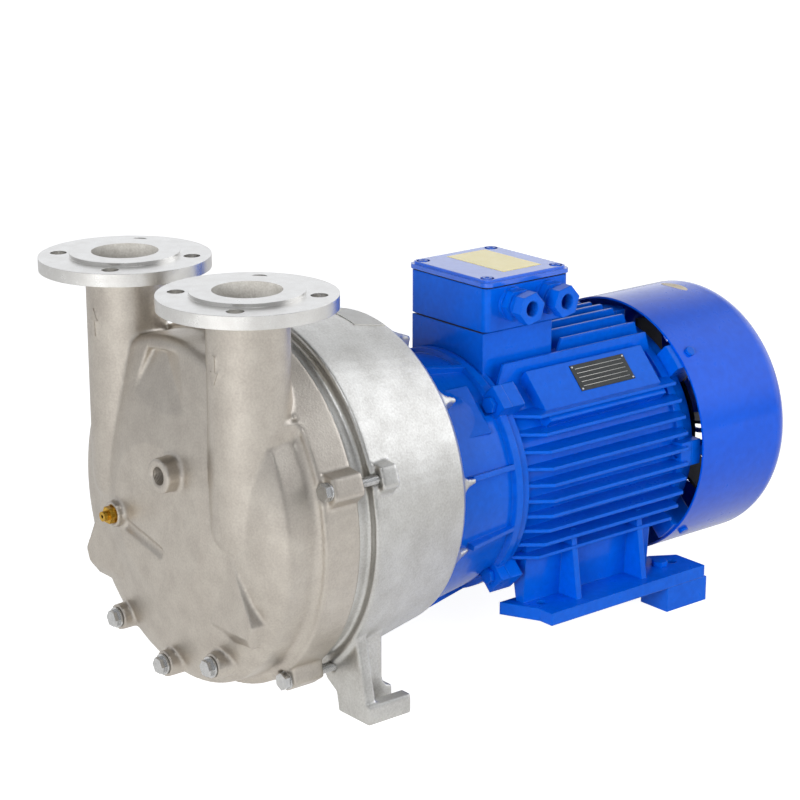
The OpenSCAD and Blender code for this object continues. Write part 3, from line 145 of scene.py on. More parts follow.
def from_ports(point_mm: Point) -> Vector:
    """Turns a point counted from the port plane into the frame's.

    Args:
        point_mm: Distance behind the port plane, across, and up.

    Returns:
        The point in metres.
    """
    x_mm, y_mm, z_mm = point_mm
    return Vector((along_shaft(x_mm), y_mm * MM, z_mm * MM))


def linear(hex_colour: str) -> tuple[float, float, float, float]:
    """Turns an sRGB hex colour into linear light.

    Args:
        hex_colour: Colour such as "#0a50c8".

    Returns:
        Red, green, blue and alpha, linear.
    """
    digits = hex_colour.lstrip("#")
    parts = [int(digits[i:i + 2], 16) / 255 for i in (0, 2, 4)]
    light = [p / 12.92 if p <= 0.04045 else ((p + 0.055) / 1.055) ** 2.4 for p in parts]
    return (light[0], light[1], light[2], 1.0)


def add_node(tree: Tree, kind: str, values: Optional[dict[Any, Any]] = None,
             **links: Any) -> bpy.types.Node:
    """Adds a node, sets its options and inputs, and links it.

    Args:
        tree: Node tree that gets the node.
        kind: Blender's type name of the node.
        values: Options by attribute name, and constant inputs by name or number.
        links: Output sockets by input name, with spaces written as underscores;
            a name such as in_0 is an input's number.

    Returns:
        The new node.
    """
    node = tree.nodes.new(kind)
    for key, value in (values or {}).items():
        if isinstance(key, str) and hasattr(node, key):
            setattr(node, key, value)
    for key, value in (values or {}).items():
        if not (isinstance(key, str) and hasattr(node, key)):
            node.inputs[key].default_value = value
    for key, socket in links.items():
        target = int(key[3:]) if key.startswith("in_") else key.replace("_", " ")
        tree.links.new(socket, node.inputs[target])
    return node


def maths(tree: Tree, operation: str, *terms: Any) -> Socket:
    """Adds a node that reckons with sockets and numbers.

    Args:
        tree: Node tree that gets the node.
        operation: Blender's name of the operation.
        terms: Sockets or numbers, in the order of the node's inputs.

    Returns:
        The result.
    """
    numbers = {i: term for i, term in enumerate(terms) if isinstance(term, (int, float))}
    sockets = {f"in_{i}": term for i, term in enumerate(terms) if i not in numbers}
    node = add_node(tree, "ShaderNodeMath", {"operation": operation, **numbers}, **sockets)
    return node.outputs[0]


def noise(tree: Tree, place: Socket, size_mm: float, detail: float) -> Socket:
    """Builds soft patches of an even size.

    Args:
        tree: The material's nodes.
        place: Object coordinates.
        size_mm: Size of the patches.
        detail: How many finer layers they have.

    Returns:
        The patches' strength, 0 to 1.
    """
    patches = add_node(tree, "ShaderNodeTexNoise", {"Scale": 1 / (size_mm * MM), "Detail": detail},
                       Vector=place)
    return patches.outputs["Fac"]


@dataclass(frozen=True)
class Finish:
    """A surface finish: a colour that drifts a little, with a fine grain.

    Attributes:
        name: What the surface is.
        light: Paler colour of the drift.
        dark: Darker colour of the drift.
        metallic: Share of metal, 0 or 1.
        roughness: Middle roughness.
        drift_mm: Size of the patches of colour.
        grain_mm: Size of the grain, drawn coarser than the real 0.2 to 0.5 mm so that it shows.
        grain_depth_mm: Height of the grain.
        spread: How far roughness strays from its middle.
        coat: Share of a clear coat.
        gloss: Strength of the mirror part of paint and plastic.
        edge_mm: Radius that paint or polish gives to sharp edges.
        coat_ior: Index of the clear coat, higher for a glassier one.
    """

    DRIFT_DETAIL: ClassVar[float] = 4.0
    SPECKLE_DETAIL: ClassVar[float] = 2.0
    GRAIN_DETAIL: ClassVar[float] = 3.0
    # Sums of drift and speckle that are all dark and all pale
    MASK_DARK: ClassVar[float] = 0.7
    MASK_PALE: ClassVar[float] = 1.3
    COAT_ROUGHNESS: ClassVar[float] = 0.12
    EDGE_SAMPLES: ClassVar[int] = 6

    name: str
    light: str
    dark: str
    metallic: float = 0.0
    roughness: float = 0.5
    drift_mm: float = 20.0
    grain_mm: float = 1.0
    grain_depth_mm: float = 0.05
    spread: float = 0.08
    coat: float = 0.0
    gloss: float = 0.5
    edge_mm: float = 0.0
    coat_ior: float = 1.22

    def height(self, tree: Tree, place: Socket) -> Socket:
        """Builds the grain.

        Args:
            tree: The material's nodes.
            place: Object coordinates.

        Returns:
            The grain's height, 0 to 1.
        """
        return noise(tree, place, self.grain_mm, self.GRAIN_DETAIL)

    def mask(self, tree: Tree, place: Socket) -> Socket:
        """Builds the drift between the two colours.

        Args:
            tree: The material's nodes.
            place: Object coordinates.

        Returns:
            Share of the paler colour, 0 to 1.
        """
        drift = noise(tree, place, self.drift_mm, self.DRIFT_DETAIL)
        speckle = noise(tree, place, self.grain_mm, self.SPECKLE_DETAIL)
        spread = add_node(tree, "ShaderNodeMapRange", {
            "From Min": self.MASK_DARK, "From Max": self.MASK_PALE},
            Value=maths(tree, "ADD", drift, speckle))
        return spread.outputs["Result"]

    def build(self) -> Material:
        """Builds the material.

        Returns:
            The finished material.
        """
        material = bpy.data.materials.new(self.name)
        material.use_nodes = True
        tree = material.node_tree
        shader = tree.nodes["Principled BSDF"]
        shader.inputs["Metallic"].default_value = self.metallic
        shader.inputs["Specular IOR Level"].default_value = self.gloss
        shader.inputs["Coat Weight"].default_value = self.coat
        shader.inputs["Coat Roughness"].default_value = self.COAT_ROUGHNESS
        shader.inputs["Coat IOR"].default_value = self.coat_ior
        place = add_node(tree, "ShaderNodeTexCoord").outputs["Object"]
        share = self.mask(tree, place)
        colour = add_node(tree, "ShaderNodeMix", {
            "data_type": "RGBA", 6: linear(self.dark), 7: linear(self.light)}, Factor=share)
        tree.links.new(colour.outputs[2], shader.inputs["Base Color"])
        rough = add_node(tree, "ShaderNodeMapRange", {
            "To Min": self.roughness + self.spread, "To Max": self.roughness - self.spread},
            Value=share)
        tree.links.new(rough.outputs["Result"], shader.inputs["Roughness"])
        bump = add_node(tree, "ShaderNodeBump", {"Distance": self.grain_depth_mm * MM},
                        Height=self.height(tree, place))
        if self.edge_mm:
            edge = add_node(tree, "ShaderNodeBevel", {
                "samples": self.EDGE_SAMPLES, "Radius": self.edge_mm * MM})
            tree.links.new(edge.outputs[0], bump.inputs["Normal"])
        tree.links.new(bump.outputs["Normal"], shader.inputs["Normal"])
        if self.coat:
            tree.links.new(bump.outputs["Normal"], shader.inputs["Coat Normal"])
        return material


@dataclass(frozen=True)
class TurnedFinish(Finish):
    """Machined metal with fine turning lines about the ports or the shaft.

    Attributes:
        around: Axis that the lines run about.
    """

    LINE_DETAIL: ClassVar[float] = 2.0

    around: Around = Around.SHAFT

    def height(self, tree: Tree, place: Socket) -> Socket:
        """Builds turning lines: noise that changes only away from the axis or along it.

        Args:
            tree: The material's nodes.
            place: Object coordinates.

        Returns:
            The lines' height, 0 to 1.
        """
        axes = add_node(tree, "ShaderNodeSeparateXYZ", Vector=place).outputs
        if self.around is Around.PORTS:
            side = maths(tree, "ABSOLUTE", axes["Y"])
            flat = add_node(tree, "ShaderNodeCombineXYZ", X=axes["X"], Y=side)
            centre = (along_shaft(0), PORT_OFFSET, 0)
            level = axes["Z"]
        else:
            flat = add_node(tree, "ShaderNodeCombineXYZ", Y=axes["Y"], Z=axes["Z"])
            centre = (0, 0, SHAFT_HEIGHT)
            level = axes["X"]
        reach = add_node(tree, "ShaderNodeVectorMath", {"operation": "DISTANCE", 1: centre},
                         in_0=flat.outputs["Vector"])
        lines = add_node(tree, "ShaderNodeTexNoise", {
            "noise_dimensions": "1D", "Scale": 1 / (self.grain_mm * MM),
            "Detail": self.LINE_DETAIL}, W=maths(tree, "ADD", reach.outputs["Value"], level))
        return lines.outputs["Fac"]


@dataclass
class Wardrobe:
    """All finishes of the pump, built once, and the nodes that wear them."""

    built: dict[str, Material] = field(default_factory=dict)

    # Stainless casting, blasted with beads: soft grey sheen with a fine grain
    blasted = Finish(
        "blasted_stainless_casting", "#d2cbc0", "#c2bab0", metallic=1.0, roughness=0.4,
        drift_mm=22, grain_mm=2.2, grain_depth_mm=0.2, spread=0.04)
    # Flanges turned on a lathe: pale and satin, with rings about each port
    flange = TurnedFinish(
        "turned_stainless_flange", "#e4e3e0", "#dad8d4", metallic=1.0, roughness=0.3, drift_mm=12,
        grain_mm=1.3, grain_depth_mm=0.03, spread=0.03, edge_mm=0.8, around=Around.PORTS)
    # Cast bore of a port, left rough: pale and dull
    bore = Finish(
        "rough_cast_bore", "#cfccc6", "#b5b1aa", roughness=0.7, drift_mm=12, grain_mm=2.0,
        grain_depth_mm=0.2, spread=0.05)
    # Stainless casing, turned and then lightly blasted: satin with a fine grain
    satin = Finish(
        "satin_stainless_casing", "#d9d8d4", "#c3c1bc", metallic=1.0, roughness=0.38, drift_mm=30,
        grain_mm=2.2, grain_depth_mm=0.12, spread=0.04)
    # Stainless bar stock as fasteners come: bright, with a faint grain
    bright = Finish(
        "bright_stainless", "#dcdcdb", "#c4c4c3", metallic=1.0, roughness=0.22, drift_mm=6,
        grain_mm=0.8, grain_depth_mm=0.02, edge_mm=0.5)
    # Pressed steel washer with a bonded seal: dull and grey
    washer = Finish(
        "dull_steel_washer", "#9b9a97", "#85847f", metallic=1.0, roughness=0.45, drift_mm=5,
        grain_depth_mm=0.02)
    # Steel ground on centres: half bright, with fine lines round the shaft
    ground = TurnedFinish(
        "ground_steel", "#c6c6c6", "#b2b2b2", metallic=1.0, roughness=0.28, drift_mm=30,
        grain_mm=0.8, grain_depth_mm=0.02)
    # Machined brass: warm and bright, with small dull patches
    brass = Finish(
        "machined_brass", "#e2b84c", "#b98a2a", metallic=1.0, roughness=0.26, drift_mm=4,
        grain_mm=0.8, grain_depth_mm=0.03, edge_mm=0.4)
    # Black sealing sheet: fibrous and dull
    rubber = Finish(
        "black_sealing_sheet", "#2b2c2e", "#1c1d1e", roughness=0.75, drift_mm=8)
    # Blue enamel sprayed over cast iron: glossy, with orange peel from the casting
    enamel = Finish(
        "blue_enamel_on_casting", "#0062dc", "#0058cc", roughness=0.32, drift_mm=60, grain_mm=7.0,
        grain_depth_mm=0.1, spread=0.05, coat=0.7, gloss=0.1, edge_mm=2.2, coat_ior=1.25)
    # Blue enamel on pressed sheet: the same paint on a smoother ground
    sheet = Finish(
        "blue_enamel_on_sheet", "#005ae0", "#0050d0", roughness=0.3, drift_mm=90, grain_mm=9.0,
        grain_depth_mm=0.03, spread=0.03, coat=1.0, gloss=0.1, edge_mm=1.0, coat_ior=1.32)
    # Blue enamel on the smooth lid: glassier, so it mirrors the sky at a low angle
    lid = Finish(
        "blue_enamel_on_lid", "#0062dc", "#0058cc", roughness=0.3, drift_mm=60, grain_mm=9.0,
        grain_depth_mm=0.02, spread=0.03, coat=1.0, edge_mm=1.0, coat_ior=1.6)
    # Stacked electrical sheet: dark and slightly blued, with the lines of its layers
    core = TurnedFinish("stacked_core_sheet", "#6b6e73", "#54565a", metallic=1.0)
    # Varnished winding: amber gloss over copper strands
    winding = TurnedFinish(
        "varnished_winding", "#b5651d", "#84400f", roughness=0.35, drift_mm=8, grain_mm=3.0,
        grain_depth_mm=0.5, coat=0.3)
    # Die-cast aluminium: pale and even
    alloy = Finish(
        "die_cast_aluminium", "#d5d6d8", "#bfc1c4", metallic=1.0, roughness=0.38, drift_mm=15,
        grain_mm=1.5)
    # Moulded black plastic: even and half dull
    plastic = Finish(
        "moulded_black_plastic", "#2d2f33", "#232529", grain_mm=1.2, grain_depth_mm=0.03)
    # Lapped carbon and ceramic seal faces: dense and dark
    carbon = Finish(
        "carbon_seal_face", "#3b3d40", "#2d2f31", roughness=0.35, drift_mm=10,
        grain_depth_mm=0.01)
    # Etched plate filled with dark paint: almost black, half dull
    etched = Finish(
        "dark_etched_plate", "#2a2d2c", "#1d201f", roughness=0.45, drift_mm=6,
        grain_depth_mm=0.02)
    # Bare aluminium foil plate: pale and even
    foil = Finish(
        "pale_foil_plate", "#e8e7e2", "#dddbd5", roughness=0.4, drift_mm=14,
        grain_depth_mm=0.01)
    # Printed yellow film under a clear layer: warm, and paler at a low angle
    yellow = Finish(
        "yellow_film", "#ffea70", "#fae25e", roughness=0.4, grain_depth_mm=0.01,
        spread=0.05, coat=1.0, coat_ior=1.6)
    # Printed film: pale, with a warm tint
    cream = Finish(
        "cream_film", "#f3e7cf", "#ead9b8", roughness=0.45, drift_mm=10,
        grain_depth_mm=0.01)

    def wears(self) -> dict[str, Finish]:
        """Names the finish of each material slot of the record.

        Returns:
            Finishes by slot.
        """
        return {
            "cast_stainless": self.blasted, "turned_stainless": self.satin,
            "bright_steel": self.bright, "steel_plate": self.ground,
            "bearing_steel": self.ground, "brass": self.brass,
            "gasket": self.rubber, "seal_washer": self.washer, "seal_face": self.carbon,
            "cast_impeller": self.alloy, "motor_blue": self.enamel, "blue_steel": self.enamel,
            "cowl_blue": self.sheet, "core_steel": self.core, "winding": self.winding,
            "rotor_alloy": self.alloy, "fan_plastic": self.plastic, "board": self.plastic,
        }

    def own(self) -> dict[str, Finish]:
        """Names the finishes of single nodes: fasteners that the paint covers, and the lid.

        Returns:
            Finishes by node.
        """
        return {"rear_shield_bolts": self.enamel, "lid_screws": self.enamel,
                "terminal_lid": self.lid}

    def material(self, finish: Finish) -> Material:
        """Builds a finish once.

        Args:
            finish: The finish wanted.

        Returns:
            Its material.
        """
        if finish.name not in self.built:
            self.built[finish.name] = finish.build()
        return self.built[finish.name]

    def dress_nodes(self, loaded: Loaded) -> None:
        """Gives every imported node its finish.
        """
        wears = self.wears()
        for subpart in loaded["record"]["subparts"]:
            node = loaded["nodes"][subpart["node"]]
            finish = self.own().get(subpart["node"], wears[subpart["material_slot"]])
            node.data.materials.clear()
            node.data.materials.append(self.material(finish))


def add_piece(name: str, mesh: Mesh, material: Material, slot: Optional[str] = None) -> Thing:
    """Adds a finished mesh to the pump's body.

    Args:
        name: Name of the piece.
        mesh: Its mesh, in place.
        material: Its finish.
        slot: The record's material slot, if it has one; not used.

    Returns:
        The new piece.
    """
    mesh.materials.clear()
    mesh.materials.append(material)
    piece = bpy.data.objects.new(name, mesh)
    bpy.context.scene.collection.objects.link(piece)
    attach(piece, PUMP_BODY)
    LOG.info("%s: %d faces", name, len(mesh.polygons))
    return piece


def evaluated_mesh(work: Thing) -> Mesh:
    """Applies the modifiers of a helper object and removes it.

    Args:
        work: Helper object, linked to the scene.

    Returns:
        Its plain mesh with all modifiers applied.
    """
    graph = bpy.context.evaluated_depsgraph_get()
    mesh = bpy.data.meshes.new_from_object(work.evaluated_get(graph))
    bpy.data.objects.remove(work)
    return mesh


def helper(name: str, mesh: Mesh) -> Thing:
    """Links a helper object that carries modifiers for a moment.

    Args:
        name: Name of the helper.
        mesh: Mesh that it starts from.

    Returns:
        The helper.
    """
    work = bpy.data.objects.new(name, mesh)
    bpy.context.scene.collection.objects.link(work)
    return work


def shade_smooth(mesh: Mesh, sharp_deg: float) -> None:
    """Shades a mesh smooth up to an angle between faces.

    Args:
        mesh: The mesh.
        sharp_deg: Edges sharper than this stay crisp.
    """
    mesh.polygons.foreach_set("use_smooth", [True] * len(mesh.polygons))
    mesh.set_sharp_from_angle(angle=math.radians(sharp_deg))


def tidy_faces(mesh: Mesh) -> None:
    """Merges doubled points of a closed mesh and turns its faces outwards.

    Args:
        mesh: The mesh.
    """
    shape = bmesh.new()
    shape.from_mesh(mesh)
    bmesh.ops.remove_doubles(shape, verts=shape.verts[:], dist=MERGE)
    bmesh.ops.recalc_face_normals(shape, faces=shape.faces[:])
    shape.to_mesh(mesh)
    shape.free()


def cut_level(mesh: Mesh, level: float, keep_above: bool) -> None:
    """Cuts a mesh at a height, drops one side and closes the cut.

    Args:
        mesh: The mesh.
        level: Height of the cut.
        keep_above: Whether the upper side stays.
    """
    shape = bmesh.new()
    shape.from_mesh(mesh)
    bmesh.ops.remove_doubles(shape, verts=shape.verts[:], dist=MERGE)
    whole = shape.verts[:] + shape.edges[:] + shape.faces[:]
    cut = bmesh.ops.bisect_plane(shape, geom=whole, dist=MERGE, plane_co=(0, 0, level),
                                 plane_no=(0, 0, 1), clear_inner=keep_above,
                                 clear_outer=not keep_above)
    rims = [edge for edge in cut["geom_cut"] if isinstance(edge, bmesh.types.BMEdge)]
    outward = -1 if keep_above else 1
    bmesh.ops.triangle_fill(shape, use_beauty=True, edges=rims, normal=(0, 0, outward))
    shape.to_mesh(mesh)
    shape.free()
    # Normals kept from before the points were merged would shade the faces wrongly
    if "custom_normal" in mesh.attributes:
        mesh.attributes.remove(mesh.attributes["custom_normal"])


def line_bores(piece: Thing, material: Material) -> None:
    """Gives the inside of both ports its own finish.

    Args:
        piece: Piece with the ports.
        material: Finish of the bores.
    """
    piece.data.materials.append(material)
    for face in piece.data.polygons:
        place = face.center
        reach = math.hypot(place.x - along_shaft(0), abs(place.y) - PORT_OFFSET)
        if reach < PORT_BORE and place.z > PORT_BORE_END:
            face.material_index = 1


@dataclass
class CastSkin:
    """Rounded skin of a casting, which stands for its sharp-edged solid.

    Attributes:
        node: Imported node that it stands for.
        slot: Material slot of that node.
        voxel_mm: Size of the cells that the solid is rebuilt from.
        passes: Rounds of smoothing, which set the radius of the edges.
        ease: Share of the way that a point moves in each round.
        keep: Share of the faces that stay after thinning.
        top: Height where the skin ends, if it ends below the solid's top.
    """

    node: str
    slot: str
    voxel_mm: float = 2.0
    passes: int = 6
    ease: float = 0.5
    keep: float = 0.4
    top: Optional[float] = None

    def build(self, loaded: Loaded, material: Material) -> Thing:
        """Builds the skin and hides the solid.

        Args:
            material: Finish of the casting.

        Returns:
            The skin.
        """
        solid = loaded["nodes"][self.node].data.copy()
        tidy_faces(solid)
        work = helper(self.node + "_work", solid)
        cells = work.modifiers.new("cells", "REMESH")
        cells.mode = "VOXEL"
        cells.voxel_size = self.voxel_mm * MM
        ease = work.modifiers.new("ease", "SMOOTH")
        ease.factor = self.ease
        ease.iterations = self.passes
        thin = work.modifiers.new("thin", "DECIMATE")
        thin.ratio = self.keep
        mesh = evaluated_mesh(work)
        if self.top is not None:
            cut_level(mesh, self.top, keep_above=False)
        # Smoothing may leave points a hair under the floor
        for vertex in mesh.vertices:
            vertex.co.z = max(vertex.co.z, 0.0)
        shade_smooth(mesh, CAST_CRISP_DEG)
        skin = add_piece(self.node + "_skin", mesh, material, self.slot)
        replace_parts(skin, self.node)
        return skin


@dataclass
class PortFlanges:
    """The two turned flanges, kept crisp above the rounded casting.

    Attributes:
        bottom: Height just under the flanges, where they leave the pipes.
    """

    bottom: float = FLANGE_BOTTOM

    def build(self, loaded: Loaded, material: Material) -> Thing:
        """Builds both flanges from the cover's solid.

        Args:
            material: Finish of the flanges.

        Returns:
            Both flanges as one piece.
        """
        mesh = loaded["nodes"]["front_cover"].data.copy()
        cut_level(mesh, self.bottom, keep_above=True)
        shade_smooth(mesh, TURNED_CRISP_DEG)
        flanges = add_piece("port_flanges", mesh, material, "cast_stainless")
        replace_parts(flanges, "front_cover")
        return flanges


@dataclass
class FlowArrow:
    """Raised arrow on a port pipe.

    Attributes:
        side: 1 for the discharge pipe, -1 for the suction pipe.
        height: Height of the arrow's middle.
        turn_deg: Where it sits round the pipe, from the -Y side towards +X.
        pipe_mm: Radius of the pipe.
        proud_mm: How far it stands out.
        sunk_mm: How far it reaches into the pipe.
        outline_mm: Its corners, along the arrow and across.
    """

    side: int
    height: float
    turn_deg: float
    pipe_mm: float = 43.0
    proud_mm: float = 1.5
    sunk_mm: float = 2.0
    outline_mm: tuple[tuple[float, float], ...] = (
        (-15, -2), (2, -2), (2, -6), (15, 0), (2, 6), (2, 2), (-15, 2))

    def build(self, material: Material) -> None:
        """Builds the arrow.

        Args:
            material: Finish of the casting.
        """
        rings = []
        for reach_mm in (self.pipe_mm - self.sunk_mm, self.pipe_mm + self.proud_mm):
            ring = []
            for along, across in self.outline_mm:
                turn = math.radians(self.turn_deg) + across / self.pipe_mm
                ring.append((along_shaft(reach_mm * math.sin(turn)),
                             self.side * PORT_OFFSET - reach_mm * MM * math.cos(turn),
                             self.height + self.side * along * MM))
            rings.append(ring)
        count = len(self.outline_mm)
        sides = [(i, (i + 1) % count, count + (i + 1) % count, count + i) for i in range(count)]
        ends = [tuple(range(count)), tuple(range(count, 2 * count))]
        mesh = bpy.data.meshes.new("flow_arrow")
        mesh.from_pydata(rings[0] + rings[1], [], ends + sides)
        tidy_faces(mesh)
        name = "discharge_arrow" if self.side > 0 else "suction_arrow"
        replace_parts(add_piece(name, mesh, material, "cast_stainless"), "front_cover")


@dataclass
class Sheet:
    """Thin bare plate or label that follows the surface under it.

    Attributes:
        name: Name of the piece.
        place: Gives its points.
        length_mm: Size along.
        width_mm: Size across.
        thick_mm: Thickness above the surface.
        shape: Outline.
        steps: Cells each way.
        sunk_mm: How far it reaches below the surface.
    """

    name: str
    place: Place
    length_mm: float
    width_mm: float
    thick_mm: float = 0.6
    shape: Shape = Shape.SQUARE
    steps: int = 14
    sunk_mm: float = 0.3

    def spot(self, i: int, j: int, lift_mm: float) -> Vector:
        """Places one corner of the grid.

        Args:
            i: Step along.
            j: Step across.
            lift_mm: Height above the surface.

        Returns:
            The point.
        """
        s, t = 2 * i / self.steps - 1, 2 * j / self.steps - 1
        if self.shape is Shape.OVAL:
            s, t = s * math.sqrt(1 - t * t / 2), t * math.sqrt(1 - s * s / 2)
        return self.place(s * self.length_mm / 2, t * self.width_mm / 2, lift_mm)

    def build(self, material: Material) -> None:
        """Builds the sheet.

        Args:
            material: Its finish.
        """
        side = self.steps + 1
        spots = [self.spot(i, j, lift) for lift in (self.thick_mm, -self.sunk_mm)
                 for i in range(side) for j in range(side)]
        under = side * side
        faces = []
        for i in range(self.steps):
            for j in range(self.steps):
                cell = (i * side + j, (i + 1) * side + j, (i + 1) * side + j + 1, i * side + j + 1)
                faces += [cell, tuple(under + k for k in reversed(cell))]
        last = self.steps
        rim = [(i, 0) for i in range(last)] + [(last, j) for j in range(last)]
        rim += [(i, last) for i in range(last, 0, -1)] + [(0, j) for j in range(last, 0, -1)]
        edge = [i * side + j for i, j in rim]
        for a, b in zip(edge, edge[1:] + edge[:1]):
            faces.append((b, a, under + a, under + b))
        mesh = bpy.data.meshes.new(self.name)
        mesh.from_pydata([tuple(spot) for spot in spots], [], faces)
        tidy_faces(mesh)
        shade_smooth(mesh, SHEET_CRISP_DEG)
        add_piece(self.name, mesh, material)


def on_pad(x_mm: float, slope_mm: float) -> Place:
    """Gives places on the slanted pad of the motor frame.

    Args:
        x_mm: Middle along the shaft, from the port plane.
        slope_mm: Middle down the slope.

    Returns:
        A place function.
    """
    lean = math.radians(PAD_LEAN_DEG)
    out = Vector((0, -math.sin(lean), math.cos(lean)))
    down = Vector((0, -math.cos(lean), -math.sin(lean)))

    def place(u_mm: float, v_mm: float, lift_mm: float) -> Vector:
        """Places a point on the pad."""
        middle = Vector((along_shaft(x_mm + u_mm), 0, SHAFT_HEIGHT))
        return middle + (out * (PAD_REACH_MM + lift_mm) + down * (slope_mm + v_mm)) * MM

    return place


def on_lid(x_mm: float, y_mm: float) -> Place:
    """Gives places on the lid of the terminal box.

    Args:
        x_mm: Middle along the shaft, from the port plane.
        y_mm: Middle across.

    Returns:
        A place function.
    """
    def place(u_mm: float, v_mm: float, lift_mm: float) -> Vector:
        """Places a point on the lid."""
        return from_ports((x_mm + u_mm, y_mm + v_mm, LID_TOP_MM + lift_mm))

    return place


def on_barrel(x_mm: float, radius: Callable[[float], float], height: float) -> Place:
    """Gives places on a round surface about an axis along the shaft.

    Args:
        x_mm: Middle along the shaft, from the port plane.
        radius: Radius in mm at a distance from the port plane.
        height: Height of the axis.

    Returns:
        A place function.
    """
    def place(u_mm: float, v_mm: float, lift_mm: float) -> Vector:
        """Places a point on the round surface."""
        reach_mm = radius(x_mm + u_mm)
        turn = v_mm / reach_mm
        return Vector((along_shaft(x_mm + u_mm), -(reach_mm + lift_mm) * math.sin(turn) * MM,
                       height + (reach_mm + lift_mm) * math.cos(turn) * MM))

    return place


@dataclass
class Repeats:
    """Node trees that lay out what repeats, each built once and run for every place.

    Attributes:
        trees: The trees built so far by name, with the keys of their inputs.
        turn_sides: Corners of a thread turn.
        crest_sides: Corners of a thread turn's own section.
    """

    trees: dict[str, tuple[Tree, dict[str, str]]] = field(default_factory=dict)
    turn_sides: int = 36
    crest_sides: int = 6

    def begin(self, name: str, counts: tuple[str, ...],
              lengths: tuple[str, ...]) -> tuple[Tree, Any]:
        """Starts a tree with named inputs and one for the material.

        Args:
            name: Name of the tree.
            counts: Names of the inputs that are whole numbers.
            lengths: Names of the inputs that are lengths.

        Returns:
            The tree and its inputs by name.
        """
        tree = bpy.data.node_groups.new(name, "GeometryNodeTree")
        tree.interface.new_socket("Geometry", in_out="OUTPUT", socket_type="NodeSocketGeometry")
        kinds = {**dict.fromkeys(counts, "NodeSocketInt"),
                 **dict.fromkeys(lengths, "NodeSocketFloat"), "Material": "NodeSocketMaterial"}
        keys = {}
        for label, kind in kinds.items():
            socket = tree.interface.new_socket(label, in_out="INPUT", socket_type=kind)
            keys[label] = socket.identifier
        self.trees[name] = (tree, keys)
        return tree, tree.nodes.new("NodeGroupInput").outputs

    def end(self, tree: Tree, instances: Socket, material: Socket) -> None:
        """Ends a tree: real meshes, smooth, with their material.

        Args:
            tree: The tree.
            instances: What was laid out.
            material: Input with the material.
        """
        real = add_node(tree, "GeometryNodeRealizeInstances", in_0=instances)
        smooth = add_node(tree, "GeometryNodeSetShadeSmooth", in_0=real.outputs[0])
        dressed = add_node(tree, "GeometryNodeSetMaterial", in_0=smooth.outputs[0],
                           Material=material)
        out = tree.nodes.new("NodeGroupOutput")
        tree.links.new(dressed.outputs[0], out.inputs[0])

    def thread_tree(self) -> None:
        """Builds the tree of thread turns: rings in a row, repeated round a circle."""
        tree, sizes = self.begin("thread_turns", ("Turns", "Stations"),
                                 ("Pitch", "Radius", "Crest", "Circle"))
        path = add_node(tree, "GeometryNodeCurvePrimitiveCircle", {"Resolution": self.turn_sides},
                        Radius=sizes["Radius"])
        crest = add_node(tree, "GeometryNodeCurvePrimitiveCircle", {"Resolution": self.crest_sides},
                         Radius=sizes["Crest"])
        ring = add_node(tree, "GeometryNodeCurveToMesh", in_0=path.outputs[0],
                        in_1=crest.outputs[0])
        upright = add_node(tree, "GeometryNodeTransform", {"Rotation": (0, math.pi / 2, 0)},
                           in_0=ring.outputs[0])
        step = add_node(tree, "ShaderNodeCombineXYZ", X=sizes["Pitch"])
        row = add_node(tree, "GeometryNodeMeshLine", Count=sizes["Turns"], Offset=step.outputs[0])
        turns = add_node(tree, "GeometryNodeInstanceOnPoints", Points=row.outputs[0],
                         Instance=upright.outputs[0])
        number = add_node(tree, "GeometryNodeInputIndex")
        share = maths(tree, "DIVIDE", number.outputs[0], sizes["Stations"])
        turn = maths(tree, "MULTIPLY", share, 2 * math.pi)
        side, up = (maths(tree, "MULTIPLY", maths(tree, wave, turn), sizes["Circle"])
                    for wave in ("SINE", "COSINE"))
        spot = add_node(tree, "ShaderNodeCombineXYZ", Y=side, Z=up)
        points = add_node(tree, "GeometryNodePoints", Count=sizes["Stations"],
                          Position=spot.outputs[0])
        stations = add_node(tree, "GeometryNodeInstanceOnPoints", Points=points.outputs[0],
                            Instance=turns.outputs[0])
        self.end(tree, stations.outputs[0], sizes["Material"])

    def rivet_tree(self) -> None:
        """Builds the tree of rivets: one flat dome at each corner of a plate."""
        tree, sizes = self.begin("plate_rivets", (), ("Length", "Width", "Head"))
        corners = add_node(tree, "GeometryNodeMeshGrid", {"Vertices X": 2, "Vertices Y": 2},
                           Size_X=sizes["Length"], Size_Y=sizes["Width"])
        dome = add_node(tree, "GeometryNodeMeshUVSphere", {"Segments": 16, "Rings": 8},
                        Radius=sizes["Head"])
        flat = add_node(tree, "GeometryNodeTransform", {"Scale": (1, 1, 0.5)}, in_0=dome.outputs[0])
        heads = add_node(tree, "GeometryNodeInstanceOnPoints", Points=corners.outputs[0],
                         Instance=flat.outputs[0])
        self.end(tree, heads.outputs[0], sizes["Material"])

    def rule_tree(self) -> None:
        """Builds the tree of a plate's blank fields: thin bars at an even distance."""
        tree, sizes = self.begin("plate_rules", ("Rules",), ("Length", "Pitch", "Thick"))
        size = add_node(tree, "ShaderNodeCombineXYZ", X=sizes["Length"], Y=sizes["Thick"],
                        Z=sizes["Thick"])
        bar = add_node(tree, "GeometryNodeMeshCube", Size=size.outputs[0])
        step = add_node(tree, "ShaderNodeCombineXYZ", Y=sizes["Pitch"])
        row = add_node(tree, "GeometryNodeMeshLine", Count=sizes["Rules"], Offset=step.outputs[0])
        bars = add_node(tree, "GeometryNodeInstanceOnPoints", Points=row.outputs[0],
                        Instance=bar.outputs[0])
        self.end(tree, bars.outputs[0], sizes["Material"])

    def build(self) -> None:
        """Builds all trees."""
        self.thread_tree()
        self.rivet_tree()
        self.rule_tree()

